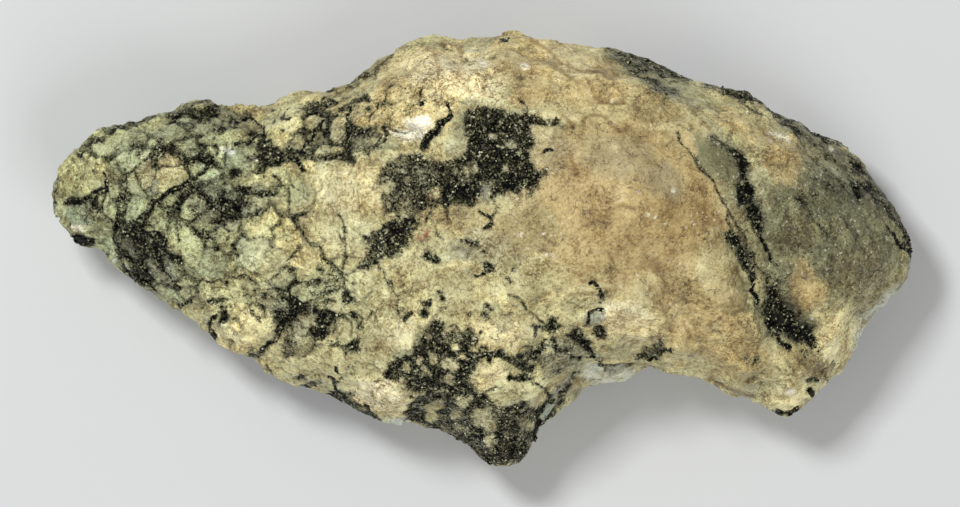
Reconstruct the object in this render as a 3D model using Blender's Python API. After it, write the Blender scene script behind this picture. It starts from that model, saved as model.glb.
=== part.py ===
"""A hand specimen of native silver ore: one broken lump of pale calcite vein rock.

The stone is one grown piece, so it is one solid. It lies on its back, on a small flat spot of
broken rock. X runs along its length, Y across it and Z up from the surface that it lies on.
The origin is on the flat spot, under the middle of the stone.

Sizes in this file are in millimetres. They become metres where vertices are placed.
"""

import math

import bmesh
import bpy
import numpy as np
from mathutils import Vector, noise

MM = 0.001

# Driving sizes
SLAB_HEIGHT = 20.0
ROUGH_VOXEL = 0.55
FINE_VOXEL = 0.45
TRIANGLES = 9200

# The stone's outline from above, counter-clockwise from the notch under the left arm.
LOWER_ARM = [
    (-32.3, -4.8), (-31.8, -5.2), (-31.0, -5.4), (-30.3, -5.9), (-29.3, -6.6), (-28.5, -7.4),
    (-27.4, -7.8), (-26.8, -8.3), (-26.2, -9.2), (-25.4, -9.9), (-24.5, -10.4), (-23.2, -10.3),
    (-22.3, -10.7), (-22.2, -11.5), (-21.7, -12.1), (-20.9, -12.3), (-19.6, -13.1),
    (-18.2, -13.7), (-16.7, -13.8), (-15.0, -14.6), (-13.5, -15.3), (-11.4, -16.5),
    (-9.7, -17.3), (-8.7, -17.6), (-7.0, -17.4),
]
PRONG = [
    (-5.0, -17.5), (-4.4, -17.9), (-3.4, -18.1), (-2.6, -18.6), (-1.5, -19.6), (-0.3, -20.5),
    (1.0, -21.3), (2.1, -21.55), (3.1, -21.35), (4.2, -20.9), (4.7, -19.8), (5.4, -18.8),
    (6.0, -17.8), (6.7, -17.0), (7.7, -16.2), (8.4, -15.4), (9.7, -14.9), (10.2, -14.2),
]
LEDGE = [
    (10.4, -13.1), (11.4, -13.05), (13.6, -13.3), (15.0, -12.9), (15.8, -12.3), (16.1, -11.5),
]
LOWER_LOBES = [
    (17.0, -11.35), (17.6, -11.7), (18.5, -12.3), (19.9, -12.6), (21.2, -12.55), (22.3, -12.9),
    (23.2, -13.2), (24.0, -14.1), (25.2, -14.6), (26.6, -14.8), (27.6, -14.8), (28.3, -15.7),
    (29.2, -16.3), (30.4, -16.75), (31.2, -16.6), (31.9, -16.0), (32.9, -15.1), (34.2, -13.6),
]
RIGHT_END = [
    (34.5, -12.8), (35.2, -12.7), (36.3, -12.3), (37.6, -10.6), (38.1, -9.4), (38.4, -8.2),
    (39.3, -6.9), (40.4, -6.2), (41.0, -5.4), (41.9, -4.0), (42.9, -2.7), (43.3, -1.7),
    (43.5, -0.6), (43.1, 0.8),
]
UPPER_RIGHT = [
    (42.3, 2.4), (41.2, 4.4), (39.4, 7.3), (38.0, 9.2), (36.3, 10.7), (35.1, 11.2),
    (34.2, 11.2), (33.5, 11.7), (32.6, 12.2), (31.9, 13.3), (31.4, 13.5), (30.7, 13.15),
    (29.9, 13.4), (29.0, 14.3), (26.9, 15.7), (25.7, 16.1), (24.6, 16.1), (23.6, 16.5),
    (22.0, 17.0), (20.3, 17.5), (18.3, 18.7), (16.5, 19.4), (14.5, 20.0), (12.0, 20.5),
]
CREST = [
    (8.5, 20.7), (6.0, 20.9), (5.0, 21.1), (4.2, 21.7), (3.4, 21.8), (2.2, 21.8), (1.5, 21.5),
    (0.0, 21.3), (-1.0, 21.0), (-2.6, 21.1), (-3.4, 21.5), (-4.3, 21.75), (-5.6, 21.5),
    (-6.9, 20.9), (-8.0, 20.1), (-8.8, 19.5), (-10.0, 19.0), (-11.2, 17.9), (-12.3, 17.1),
]
UPPER_ARM = [
    (-13.4, 16.1), (-14.6, 15.9), (-15.7, 15.6), (-17.0, 15.9), (-18.2, 16.0), (-20.1, 15.0),
    (-20.9, 14.5), (-22.7, 13.8), (-24.0, 14.3), (-26.2, 14.5), (-27.4, 14.9), (-28.9, 14.9),
    (-30.0, 14.4), (-31.2, 13.7), (-32.7, 13.6), (-33.4, 13.2), (-34.8, 12.7), (-36.0, 12.6),
    (-37.0, 12.1), (-38.5, 11.7),
]
LEFT_END = [
    (-39.4, 10.8), (-40.6, 10.0), (-41.2, 9.2), (-42.3, 7.7), (-42.9, 5.5), (-42.3, 3.6),
    (-41.3, 2.0), (-40.5, 0.9), (-39.5, 0.4), (-38.7, 0.5), (-37.5, -0.4), (-36.9, -1.5),
    (-35.6, -2.5), (-34.6, -3.1), (-33.0, -4.2),
]
OUTLINE = (
    LOWER_ARM + PRONG + LEDGE + LOWER_LOBES + RIGHT_END + UPPER_RIGHT + CREST + UPPER_ARM + LEFT_END
)

# Spot heights of the upper side: x, y, height. The surface between them is a thin plate.
TOP_SPOTS = [
    (-41.5, 6.0, 11.8), (-38.0, 9.5, 13.6), (-37.5, 3.0, 13.6), (-33.5, 11.5, 14.6),
    (-33.0, 5.5, 17.0), (-33.5, -1.0, 13.8), (-28.0, 12.5, 15.0), (-28.0, 6.0, 17.6),
    (-29.0, -1.5, 16.4), (-27.5, -5.0, 13.8), (-22.0, 12.0, 14.2), (-22.0, 5.0, 17.8),
    (-22.0, -3.0, 17.4), (-20.0, -9.5, 14.2), (-16.0, 13.5, 15.2), (-15.0, 7.0, 19.2),
    (-15.0, -1.0, 19.8), (-14.0, -9.0, 16.8), (-10.0, 15.5, 17.6), (-8.0, 9.5, 20.4),
    (-8.0, 1.0, 21.6), (-7.0, -8.0, 19.6), (-7.0, -14.5, 15.8), (-5.0, 19.0, 17.0),
    (-2.0, 14.0, 20.6), (0.0, 7.0, 22.4), (1.0, -2.0, 22.8), (1.0, -10.0, 19.6),
    (2.0, -17.5, 14.0), (3.0, 19.0, 17.4), (5.0, 13.5, 21.8), (8.0, 5.0, 24.3),
    (9.0, -4.0, 22.9), (8.0, -11.0, 17.4), (11.0, 18.0, 18.0), (14.0, 10.0, 23.8),
    (15.5, 2.0, 25.0), (17.0, -5.0, 22.0), (16.0, -9.5, 18.0), (20.0, 14.0, 19.4),
    (22.0, 7.0, 22.6), (22.5, -2.0, 21.8), (23.0, -9.0, 17.2), (27.5, 12.0, 17.6),
    (29.0, 4.0, 20.0), (29.5, -5.0, 17.6), (29.5, -12.5, 14.6), (35.0, 8.0, 15.6),
    (36.0, 0.0, 16.8), (35.5, -8.0, 13.8), (41.0, 2.0, 12.6), (40.5, -3.0, 12.4),
]

# Broken faces of the back. Each passes through x, y, height, and climbs by the two slopes for
# each millimetre along X and along Y. The highest face at a place is the stone's back there.
BACK_FACES = [
    (3.0, 1.0, -2.2, 0.01, -0.01), (-12.0, 2.0, 0.0, -0.16, 0.04),
    (-9.0, -6.0, 0.0, -0.10, -0.30), (-24.0, -6.0, 2.6, -0.26, -0.36),
    (2.0, -7.0, 0.0, 0.03, -0.40), (15.0, -5.0, 0.0, 0.14, -0.28),
    (18.0, 2.0, 0.0, 0.20, 0.03), (34.0, -2.0, 3.4, 0.34, -0.10),
    (14.0, 9.0, 0.0, 0.15, 0.30), (-3.0, 9.0, 0.0, -0.02, 0.38),
    (-12.0, 8.0, 0.3, -0.13, 0.28), (-34.0, 4.0, 3.6, -0.34, 0.05),
]
BACK_BLEND = 0.45

# The edge all round: x, y, height of the widest line, width of the shoulder above it, and how
# much of the stone's height there is wall.
EDGES = [
    (-42.5, 6.0, 8.2, 2.8, 0.55), (-36.0, 12.5, 8.4, 2.6, 0.50), (-30.0, 14.0, 7.0, 2.2, 0.55),
    (-22.0, 14.0, 8.6, 2.0, 0.55), (-15.0, 16.0, 7.2, 2.0, 0.60), (-9.0, 19.0, 9.0, 2.8, 0.50),
    (-3.0, 21.5, 7.6, 4.0, 0.40), (4.0, 21.5, 9.6, 3.8, 0.40), (12.0, 20.5, 8.0, 4.2, 0.40),
    (22.0, 17.0, 6.8, 3.4, 0.45), (29.0, 14.5, 8.4, 3.0, 0.50), (36.0, 10.5, 6.8, 3.2, 0.50),
    (42.0, 2.5, 8.2, 2.4, 0.60), (43.0, -3.0, 6.0, 1.2, 0.65), (38.5, -9.0, 5.8, 1.2, 0.65),
    (32.0, -16.0, 8.6, 2.4, 0.50), (26.0, -14.5, 7.2, 2.0, 0.55), (20.0, -12.0, 8.8, 2.0, 0.55),
    (13.0, -13.0, 5.2, 1.4, 0.60), (9.0, -15.0, 5.6, 1.6, 0.60), (3.0, -21.0, 7.6, 2.0, 0.55),
    (-4.0, -18.0, 6.0, 1.4, 0.65), (-12.0, -16.0, 8.0, 1.3, 0.68), (-20.0, -13.0, 6.4, 1.3, 0.66),
    (-28.0, -7.5, 8.2, 1.3, 0.66), (-35.0, -3.0, 6.6, 1.4, 0.62), (-40.0, 1.0, 8.2, 1.8, 0.58),
]
SHOULDER_POWER = 1.8
UNDERSIDE_REACH = 3.6
LEAST_THICKNESS = 3.0
WALL_LEAN = 0.22
LEAN_REACH = 2.0
EDGE_ROUNDING = 8

# Rounded grains that stand proud of the surface: x, y, radius, height.
KNOBS = [
    (-24.0, -8.3, 2.7, 1.5), (31.1, -13.8, 2.7, 1.8), (25.3, -12.4, 2.6, 1.0),
    (-39.6, 1.6, 1.5, 0.8), (31.4, 12.7, 1.2, 1.0), (-28.6, -1.4, 2.8, 0.8),
    (-33.2, 0.4, 1.8, 0.7), (-37.8, 4.2, 1.9, 0.7), (-30.4, 8.6, 2.6, 0.7),
    (-16.4, 0.4, 2.4, 0.5), (-14.3, -0.6, 1.9, 0.6), (-14.4, -3.2, 1.5, 0.5),
    (-16.6, -3.8, 1.6, 0.5), (-20.8, 0.6, 2.6, 0.6), (-27.4, -5.4, 2.4, 0.7),
    (-12.0, 6.4, 3.4, 0.7), (-15.6, 8.6, 2.4, 0.6), (-8.0, -8.6, 2.6, 0.8),
    (-9.0, -15.0, 2.6, 0.7), (1.4, -12.2, 2.4, 0.8), (5.6, -13.6, 1.7, 0.6),
    (-7.6, -2.6, 1.9, 0.5), (3.0, -6.6, 2.8, 0.6), (13.2, -9.2, 2.0, 0.7),
    (20.0, -9.6, 2.3, 0.8), (23.0, -3.8, 3.0, 0.7), (32.4, -4.0, 2.4, 0.6),
    (35.4, -8.2, 2.2, 0.7), (4.0, -10.2, 1.5, 0.4), (-38.6, 8.6, 1.9, 0.5),
    (-25.0, 11.6, 1.8, 0.5), (-18.6, 12.6, 2.2, 0.6), (-4.2, 19.4, 2.2, 0.6),
    (3.0, 20.2, 2.0, 0.6), (-3.4, 10.6, 1.5, 0.5), (15.4, 5.4, 4.5, 0.6),
]

# Cracks, ore bands and valleys: width, depth and the line that each follows.
GROOVES = [
    (0.7, 0.9, [(19.3, 11.8), (20.3, 10.0), (21.5, 8.9), (22.5, 7.5), (23.6, 5.8), (25.6, 2.0)]),
    (2.2, 1.1, [(24.6, 1.2), (26.2, -2.0), (27.8, -5.2), (30.6, -7.6), (33.6, -9.8)]),
    (1.5, 0.8, [(23.6, 11.0), (25.8, 9.2), (26.3, 7.0), (27.0, 4.4), (27.6, 2.0), (28.6, -0.8)]),
    (0.9, 0.6, [(13.2, 20.2), (15.0, 18.2), (17.0, 16.2), (19.2, 14.0), (20.8, 12.0)]),
    (0.8, 0.7, [(-26.8, 8.2), (-29.4, 6.4), (-31.6, 5.2), (-33.4, 3.4)]),
    (0.7, 0.7, [(-22.2, -10.2), (-20.4, -8.8), (-18.6, -7.0), (-17.4, -5.4)]),
    (0.7, 0.6, [(-20.6, 5.0), (-18.4, 2.6), (-16.6, 0.4), (-14.4, -2.0), (-12.6, -5.0)]),
    (0.9, 0.6, [(-3.0, 14.4), (-3.8, 12.4), (-5.4, 10.2)]),
    (0.8, 0.6, [(-22.8, 13.4), (-21.6, 11.6), (-19.8, 10.0), (-17.4, 10.4), (-15.4, 12.4)]),
    (1.6, 0.7, [(9.4, -8.6), (11.2, -10.2), (12.4, -11.4)]),
    (2.4, 0.8, [(16.2, -1.4), (18.4, -2.6), (20.4, -5.4), (21.4, -8.6)]),
    (1.2, 0.7, [(22.6, -10.4), (23.2, -12.6)]),
    (0.9, 0.8, [(27.4, -12.6), (28.0, -14.4)]),
]

# Broken steps that stand lower than the upper side: height, fall towards +X -Y, and the edge.
STEPS = [
    (8.4, 0.0, [(9.9, -12.3), (12.3, -11.55), (16.3, -11.25), (17.0, -14.2), (10.0, -14.2)]),
    (12.0, 1.6, [(6.2, -17.6), (6.5, -15.9), (7.5, -14.2), (8.7, -12.7), (10.2, -11.9),
                 (11.0, -16.0), (8.0, -19.0)]),
    (9.8, 0.5, [(43.0, -2.1), (41.2, -3.0), (39.9, -4.6), (38.3, -6.4), (37.4, -8.4),
                (37.2, -10.2), (37.6, -11.6), (41.0, -11.0), (46.0, -3.0)]),
]
STEP_BLEND = 0.35

# Broken grain over the whole skin: size and height of the lumps, then of the fine grain.
LUMP_SIZE = 3.4
LUMP_HEIGHT = 0.55
LUMP_SIZE_SMALL = 1.5
LUMP_HEIGHT_SMALL = 0.18
SWELL_SIZE = 7.0
SWELL_HEIGHT = 0.8
LEAST_GRAIN = 0.2

STONE_COLOUR = (0.47, 0.40, 0.24, 1.0)
STONE_ROUGHNESS = 0.62


def clear_scene():
    """Empty the scene of every object."""
    for obj in list(bpy.data.objects):
        bpy.data.objects.remove(obj, do_unlink=True)


def thin_plate(spots):
    """Return the smooth surface z(points) that passes through the spots (x, y, z)."""
    spots = np.array(spots, float)
    places = spots[:, :2]

    def kernel(points):
        square = ((points[:, None, :] - places[None, :, :]) ** 2).sum(2)
        return 0.5 * square * np.log(square + 1e-9)

    def plane(points):
        return np.c_[np.ones(len(points)), points]

    count = len(spots)
    system = np.zeros((count + 3, count + 3))
    system[:count, :count] = kernel(places) + 4.0 * np.eye(count)
    system[:count, count:] = plane(places)
    system[count:, :count] = plane(places).T
    weights = np.linalg.solve(system, np.r_[spots[:, 2], np.zeros(3)])
    return lambda points: kernel(points) @ weights[:count] + plane(points) @ weights[count:]


def line_distance(points, line, closed=False):
    """Distance from each point to a line of straight runs."""
    corners = np.array(line + line[:1] if closed else line, float)
    nearest = np.full(len(points), np.inf)
    for start, end in zip(corners[:-1], corners[1:]):
        run = end - start
        along = np.clip((points - start) @ run / (run @ run), 0.0, 1.0)
        away = np.linalg.norm(points - start - along[:, None] * run, axis=1)
        nearest = np.minimum(nearest, away)
    return nearest


def inside(points, corners):
    """True for each point that lies inside the closed outline."""
    ends = np.array(corners, float)
    found = np.zeros(len(points), bool)
    for (x0, y0), (x1, y1) in zip(ends, np.roll(ends, -1, axis=0)):
        spans = (y0 > points[:, 1]) != (y1 > points[:, 1])
        if y0 != y1:
            crossing = x0 + (points[:, 1] - y0) * (x1 - x0) / (y1 - y0)
            found ^= spans & (points[:, 0] < crossing)
    return found


def inward(points):
    """The level direction, one unit long, from the outline towards the middle of the stone."""
    across = []
    for side in ((LEAN_REACH, 0.0), (0.0, LEAN_REACH)):
        depths = []
        for place in (points + side, points - side):
            depth = line_distance(place, OUTLINE, closed=True)
            depths.append(np.where(inside(place, OUTLINE), depth, -depth))
        across.append(depths[0] - depths[1])
    direction = np.array(across).T
    return direction / np.maximum(np.linalg.norm(direction, axis=1), 0.1)[:, None]


def smooth_step(value):
    """Ease from 0 to 1 as value goes from 0 to 1."""
    share = np.clip(value, 0.0, 1.0)
    return share * share * (3.0 - 2.0 * share)


def edge_form(points):
    """Height, shoulder width and wall share of the edge near each point, blended from EDGES."""
    spots = np.array(EDGES, float)
    square = ((points[:, None, :] - spots[None, :, :2]) ** 2).sum(2) + 1.0
    weight = square**-2.0
    weight /= weight.sum(1)[:, None]
    return (weight @ spots[:, 2:]).T


def under_side(points):
    """Height of the stone's back at each point: its broken faces, with their edges rounded."""
    faces = np.array(BACK_FACES, float)
    across = points[:, None, :] - faces[None, :, :2]
    heights = faces[:, 2] + (across * faces[:, 3:]).sum(2)
    return BACK_BLEND * np.logaddexp.reduce(heights / BACK_BLEND, axis=1)


def upper_side(points):
    """Height of the stone's upper side at each point, away from its edge."""
    height = thin_plate(TOP_SPOTS)(points)
    for x, y, radius, rise in KNOBS:
        square = ((points - (x, y)) ** 2).sum(1) / radius**2
        height += rise * np.clip(1.0 - square, 0.0, 1.0) ** 0.8
    for width, depth, line in GROOVES:
        height -= depth * smooth_step(1.0 - line_distance(points, line) / width)
    return height


def stepped(points, height):
    """Lower the upper side to each broken step inside that step's edge."""
    for level, fall, edge in STEPS:
        corner = np.array(edge[0])
        outward = (points - corner) @ np.array((math.sqrt(0.5), -math.sqrt(0.5)))
        signed = line_distance(points, edge, closed=True) * np.where(inside(points, edge), 1, -1)
        share = smooth_step(0.5 + signed / (2 * STEP_BLEND))
        step = np.minimum(height, level - fall * np.clip(outward, 0.0, 4.0))
        height = height * (1.0 - share) + step * share
    return height


def add_slab():
    """Add the outline as a plain slab, its lower face on the plane that the stone lies on."""
    form = bmesh.new()
    corners = [form.verts.new((x * MM, y * MM, 0.0)) for x, y in OUTLINE]
    floor = form.faces.new(corners)
    raised = bmesh.ops.extrude_face_region(form, geom=[floor])["geom"]
    top = [part for part in raised if isinstance(part, bmesh.types.BMVert)]
    bmesh.ops.translate(form, verts=top, vec=(0.0, 0.0, SLAB_HEIGHT * MM))
    bmesh.ops.recalc_face_normals(form, faces=form.faces)
    mesh = bpy.data.meshes.new("silver_ore_stone")
    form.to_mesh(mesh)
    form.free()
    stone = bpy.data.objects.new("silver_ore_stone", mesh)
    bpy.context.scene.collection.objects.link(stone)
    return stone


def bake_modifiers(stone):
    """Make the mesh that the modifiers give the object's own mesh."""
    graph = bpy.context.evaluated_depsgraph_get()
    graph.update()
    made = bpy.data.meshes.new_from_object(stone.evaluated_get(graph))
    stone.modifiers.clear()
    stone.data = made


def remesh(stone, voxel):
    """Cover the stone with even squares of one size."""
    cover = stone.modifiers.new("even skin", "REMESH")
    cover.mode = "VOXEL"
    cover.voxel_size = voxel * MM
    cover.adaptivity = 0.0
    bake_modifiers(stone)


def vertices_of(stone):
    """The stone's vertices in millimetres, one row each."""
    flat = np.empty(len(stone.data.vertices) * 3)
    stone.data.vertices.foreach_get("co", flat)
    return flat.reshape(-1, 3) / MM


def place_vertices(stone, places):
    """Move the stone's vertices to the places, given in millimetres."""
    stone.data.vertices.foreach_set("co", (places * MM).ravel())
    stone.data.update()


def shape_stone(stone):
    """Turn the slab into the stone: upper side, shoulders, wall and back."""
    places = vertices_of(stone)
    plan = places[:, :2]
    share = np.clip(places[:, 2] / SLAB_HEIGHT, 0.0, 1.0)
    from_edge = line_distance(plan, OUTLINE, closed=True)
    edge_height, width, wall = edge_form(plan)
    above = np.clip(1.0 - from_edge / width, 0.0, 1.0) ** SHOULDER_POWER
    below = np.clip(1.0 - from_edge / UNDERSIDE_REACH, 0.0, 1.0) ** SHOULDER_POWER
    top = edge_height + (upper_side(plan) - edge_height) * (1.0 - above * (1.0 - wall))
    back = edge_height + (under_side(plan) - edge_height) * (1.0 - below * (1.0 - wall))
    top = np.maximum(stepped(plan, top), back + LEAST_THICKNESS)
    places[:, 2] = back + (top - back) * share
    lean = WALL_LEAN * np.exp(-((from_edge / LEAN_REACH) ** 2)) * np.abs(places[:, 2] - edge_height)
    places[:, :2] += inward(plan) * lean[:, None]
    place_vertices(stone, places)


def round_edges(stone):
    """Wear the stone's sharp edges round."""
    wear = stone.modifiers.new("worn edges", "SMOOTH")
    wear.factor = 0.5
    wear.iterations = EDGE_ROUNDING
    bake_modifiers(stone)


def grain_height(place):
    """Height of the broken grain at a place on the skin: rounded lumps with creases between."""
    near, _ = noise.voronoi(Vector(place) / LUMP_SIZE)
    lump = min(near[1] - near[0], 0.5) - 0.25
    near, _ = noise.voronoi(Vector(place) / LUMP_SIZE_SMALL)
    small = min(near[1] - near[0], 0.5) - 0.25
    swell = noise.noise(Vector(place) / SWELL_SIZE)
    return LUMP_HEIGHT * lump + LUMP_HEIGHT_SMALL * small + SWELL_HEIGHT * swell


def roughen(stone):
    """Raise lumps and sink creases along the skin's normals, less so on the stone's widest line."""
    places = vertices_of(stone)
    from_edge = line_distance(places[:, :2], OUTLINE, closed=True)
    off_line = np.abs(places[:, 2] - edge_form(places[:, :2])[0])
    share = np.clip((from_edge + off_line) / LEAN_REACH, LEAST_GRAIN, 1.0)
    normals = np.empty(len(places) * 3)
    stone.data.vertices.foreach_get("normal", normals)
    normals = normals.reshape(-1, 3)
    height = share * np.array([grain_height(place) for place in places])
    place_vertices(stone, places + normals * height[:, None])


def thin_out(stone):
    """Keep the most telling triangles, up to the stated number."""
    stone.data.calc_loop_triangles()
    collapse = stone.modifiers.new("fewer faces", "DECIMATE")
    collapse.ratio = TRIANGLES / len(stone.data.loop_triangles)
    collapse.use_collapse_triangulate = True
    bake_modifiers(stone)


def cut_resting_spot(stone):
    """Cut the back off flat where it would reach below the surface that the stone lies on."""
    form = bmesh.new()
    form.from_mesh(stone.data)
    everything = form.verts[:] + form.edges[:] + form.faces[:]
    bmesh.ops.bisect_plane(
        form, geom=everything, dist=1e-7, plane_co=(0, 0, 0), plane_no=(0, 0, -1), clear_outer=True
    )
    rim = [edge for edge in form.edges if edge.is_boundary]
    bmesh.ops.triangle_fill(form, edges=rim, use_beauty=True, normal=(0, 0, -1))
    bmesh.ops.triangulate(form, faces=[face for face in form.faces if len(face.verts) > 3])
    bmesh.ops.recalc_face_normals(form, faces=form.faces)
    form.to_mesh(stone.data)
    form.free()


def stone_material():
    """Pale calcite: matt and cream to tan."""
    material = bpy.data.materials.new("calcite_vein_rock")
    material.use_nodes = True
    shader = material.node_tree.nodes["Principled BSDF"]
    shader.inputs["Base Color"].default_value = STONE_COLOUR
    shader.inputs["Roughness"].default_value = STONE_ROUGHNESS
    shader.inputs["Metallic"].default_value = 0.0
    return material


def main():
    """Build the stone."""
    clear_scene()
    stone = add_slab()
    remesh(stone, ROUGH_VOXEL)
    shape_stone(stone)
    remesh(stone, FINE_VOXEL)
    round_edges(stone)
    roughen(stone)
    thin_out(stone)
    cut_resting_spot(stone)
    stone.data.materials.append(stone_material())


main()
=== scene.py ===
"""The looks of a native silver ore specimen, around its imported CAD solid.

A broken lump of calcite vein rock lies on its back. Its skin is sugary pale calcite, stained tan
and olive, with black veins and peppery patches of tarnished silver grains.

Sizes are in millimetres in the stone's own frame: X along it, Y across it and Z up from the floor.
"""

import logging
import math
from dataclasses import dataclass, field
from enum import Enum

import bpy
import numpy as np
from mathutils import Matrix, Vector, noise


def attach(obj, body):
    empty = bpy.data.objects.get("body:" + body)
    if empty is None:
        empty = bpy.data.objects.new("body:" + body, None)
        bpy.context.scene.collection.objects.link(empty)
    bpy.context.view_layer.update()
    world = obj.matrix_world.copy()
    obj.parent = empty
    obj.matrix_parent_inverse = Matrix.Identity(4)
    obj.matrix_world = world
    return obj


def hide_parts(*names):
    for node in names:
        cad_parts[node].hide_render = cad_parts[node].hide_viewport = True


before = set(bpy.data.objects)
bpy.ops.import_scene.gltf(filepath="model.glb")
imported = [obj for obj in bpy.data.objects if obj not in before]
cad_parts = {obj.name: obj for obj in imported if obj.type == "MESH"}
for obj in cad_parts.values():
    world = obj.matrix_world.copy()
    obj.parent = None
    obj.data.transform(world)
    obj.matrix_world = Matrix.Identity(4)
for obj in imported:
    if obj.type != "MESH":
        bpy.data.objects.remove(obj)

MM = 0.001
NODE = "silver_ore_stone"
BODY = "root"

log = logging.getLogger("silver_ore")

Point = tuple[float, float]
Route = tuple[Point, ...]
Spot = tuple[float, float, float]
Stops = tuple[tuple[float, str], ...]
Settings = dict[str | int, object]
Links = dict[str | int, str]


class Grade(Enum):
    """How much of a patch is ore: the value is how far its inside stands over the ore's limit."""

    PACKED = 0.85
    SOLID = 0.55
    RICH = 0.22
    FAIR = 0.13
    MIXED = 0.05
    LEAN = -0.16


@dataclass(frozen=True)
class Patches:
    """Patches of ore grains of one grade, by their outlines from above."""

    grade: Grade
    outlines: tuple[Route, ...]


@dataclass(frozen=True)
class Streaks:
    """Streaks of ore grains of one half width, by their routes; a route of one point is a spot."""

    grade: Grade
    half_width: float
    routes: tuple[Route, ...]


@dataclass(frozen=True)
class Veins:
    """Crisp thin lines of ore and open cracks, by their half width and routes."""

    half_width: float
    routes: tuple[Route, ...]


@dataclass(frozen=True)
class Area:
    """An oval area of the skin, seen from above: its middle, half sides, turn and depth."""

    x: float
    y: float
    length: float
    width: float
    turn: float
    depth: float

    def reach(self, points: np.ndarray) -> np.ndarray:
        """How far out points lie.

        Args:
            points: one row of x and y for each point.

        Returns:
            A value for each point, 0 in the area's middle and 1 on its outline.
        """
        turn = math.radians(self.turn)
        across = points - (self.x, self.y)
        return np.hypot(across @ (math.cos(turn), math.sin(turn)) / self.length,
                        across @ (-math.sin(turn), math.cos(turn)) / self.width)


@dataclass(frozen=True)
class Stain(Area):
    """A soft stain of the calcite; its grit, from 0 to 1, is how full of small specks it is."""

    grit: float
    colour: str


@dataclass(frozen=True)
class Pepper(Area):
    """An area with fine specks of ore, and with seams of it between the calcite grains."""

    seams: bool = True


def linear(colour: str) -> tuple[float, float, float, float]:
    """Turn an sRGB hex colour into linear red, green, blue and alpha.

    Args:
        colour: six hex digits after a hash sign.

    Returns:
        The four linear values.
    """
    parts = [int(colour[start : start + 2], 16) / 255 for start in (1, 3, 5)]
    values = [part / 12.92 if part <= 0.04045 else ((part + 0.055) / 1.055) ** 2.4 for part in parts]
    return (*values, 1.0)


GREY_GREEN = "#afb891"
CREAM = "#c8c397"
IVORY = "#f0e6b8"
BUTTER = "#e2d198"
TAN = "#bfa876"
HONEY = "#d3bf8a"
OCHRE = "#a9905c"
BROWN = "#8a744a"
OLIVE = "#77785a"
CHALK_AND_HIGHLIGHT = "#fffef2"
HALO = "#7d8069"
PALE_WITH_BLUE_REFLECTION = "#c6cec7"
MURK = "#9b9c84"
FAWN = "#a89b6f"
SMOKE = "#55543f"
RED = "#9c4128"
GREY = "#9a967e"
BLUE_GREY = "#98a196"
PALE_GREEN = "#b9bd98"

# The marks below are drawn, each as X and Y from the stone's middle. A spot's third number
# is its radius.

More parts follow.
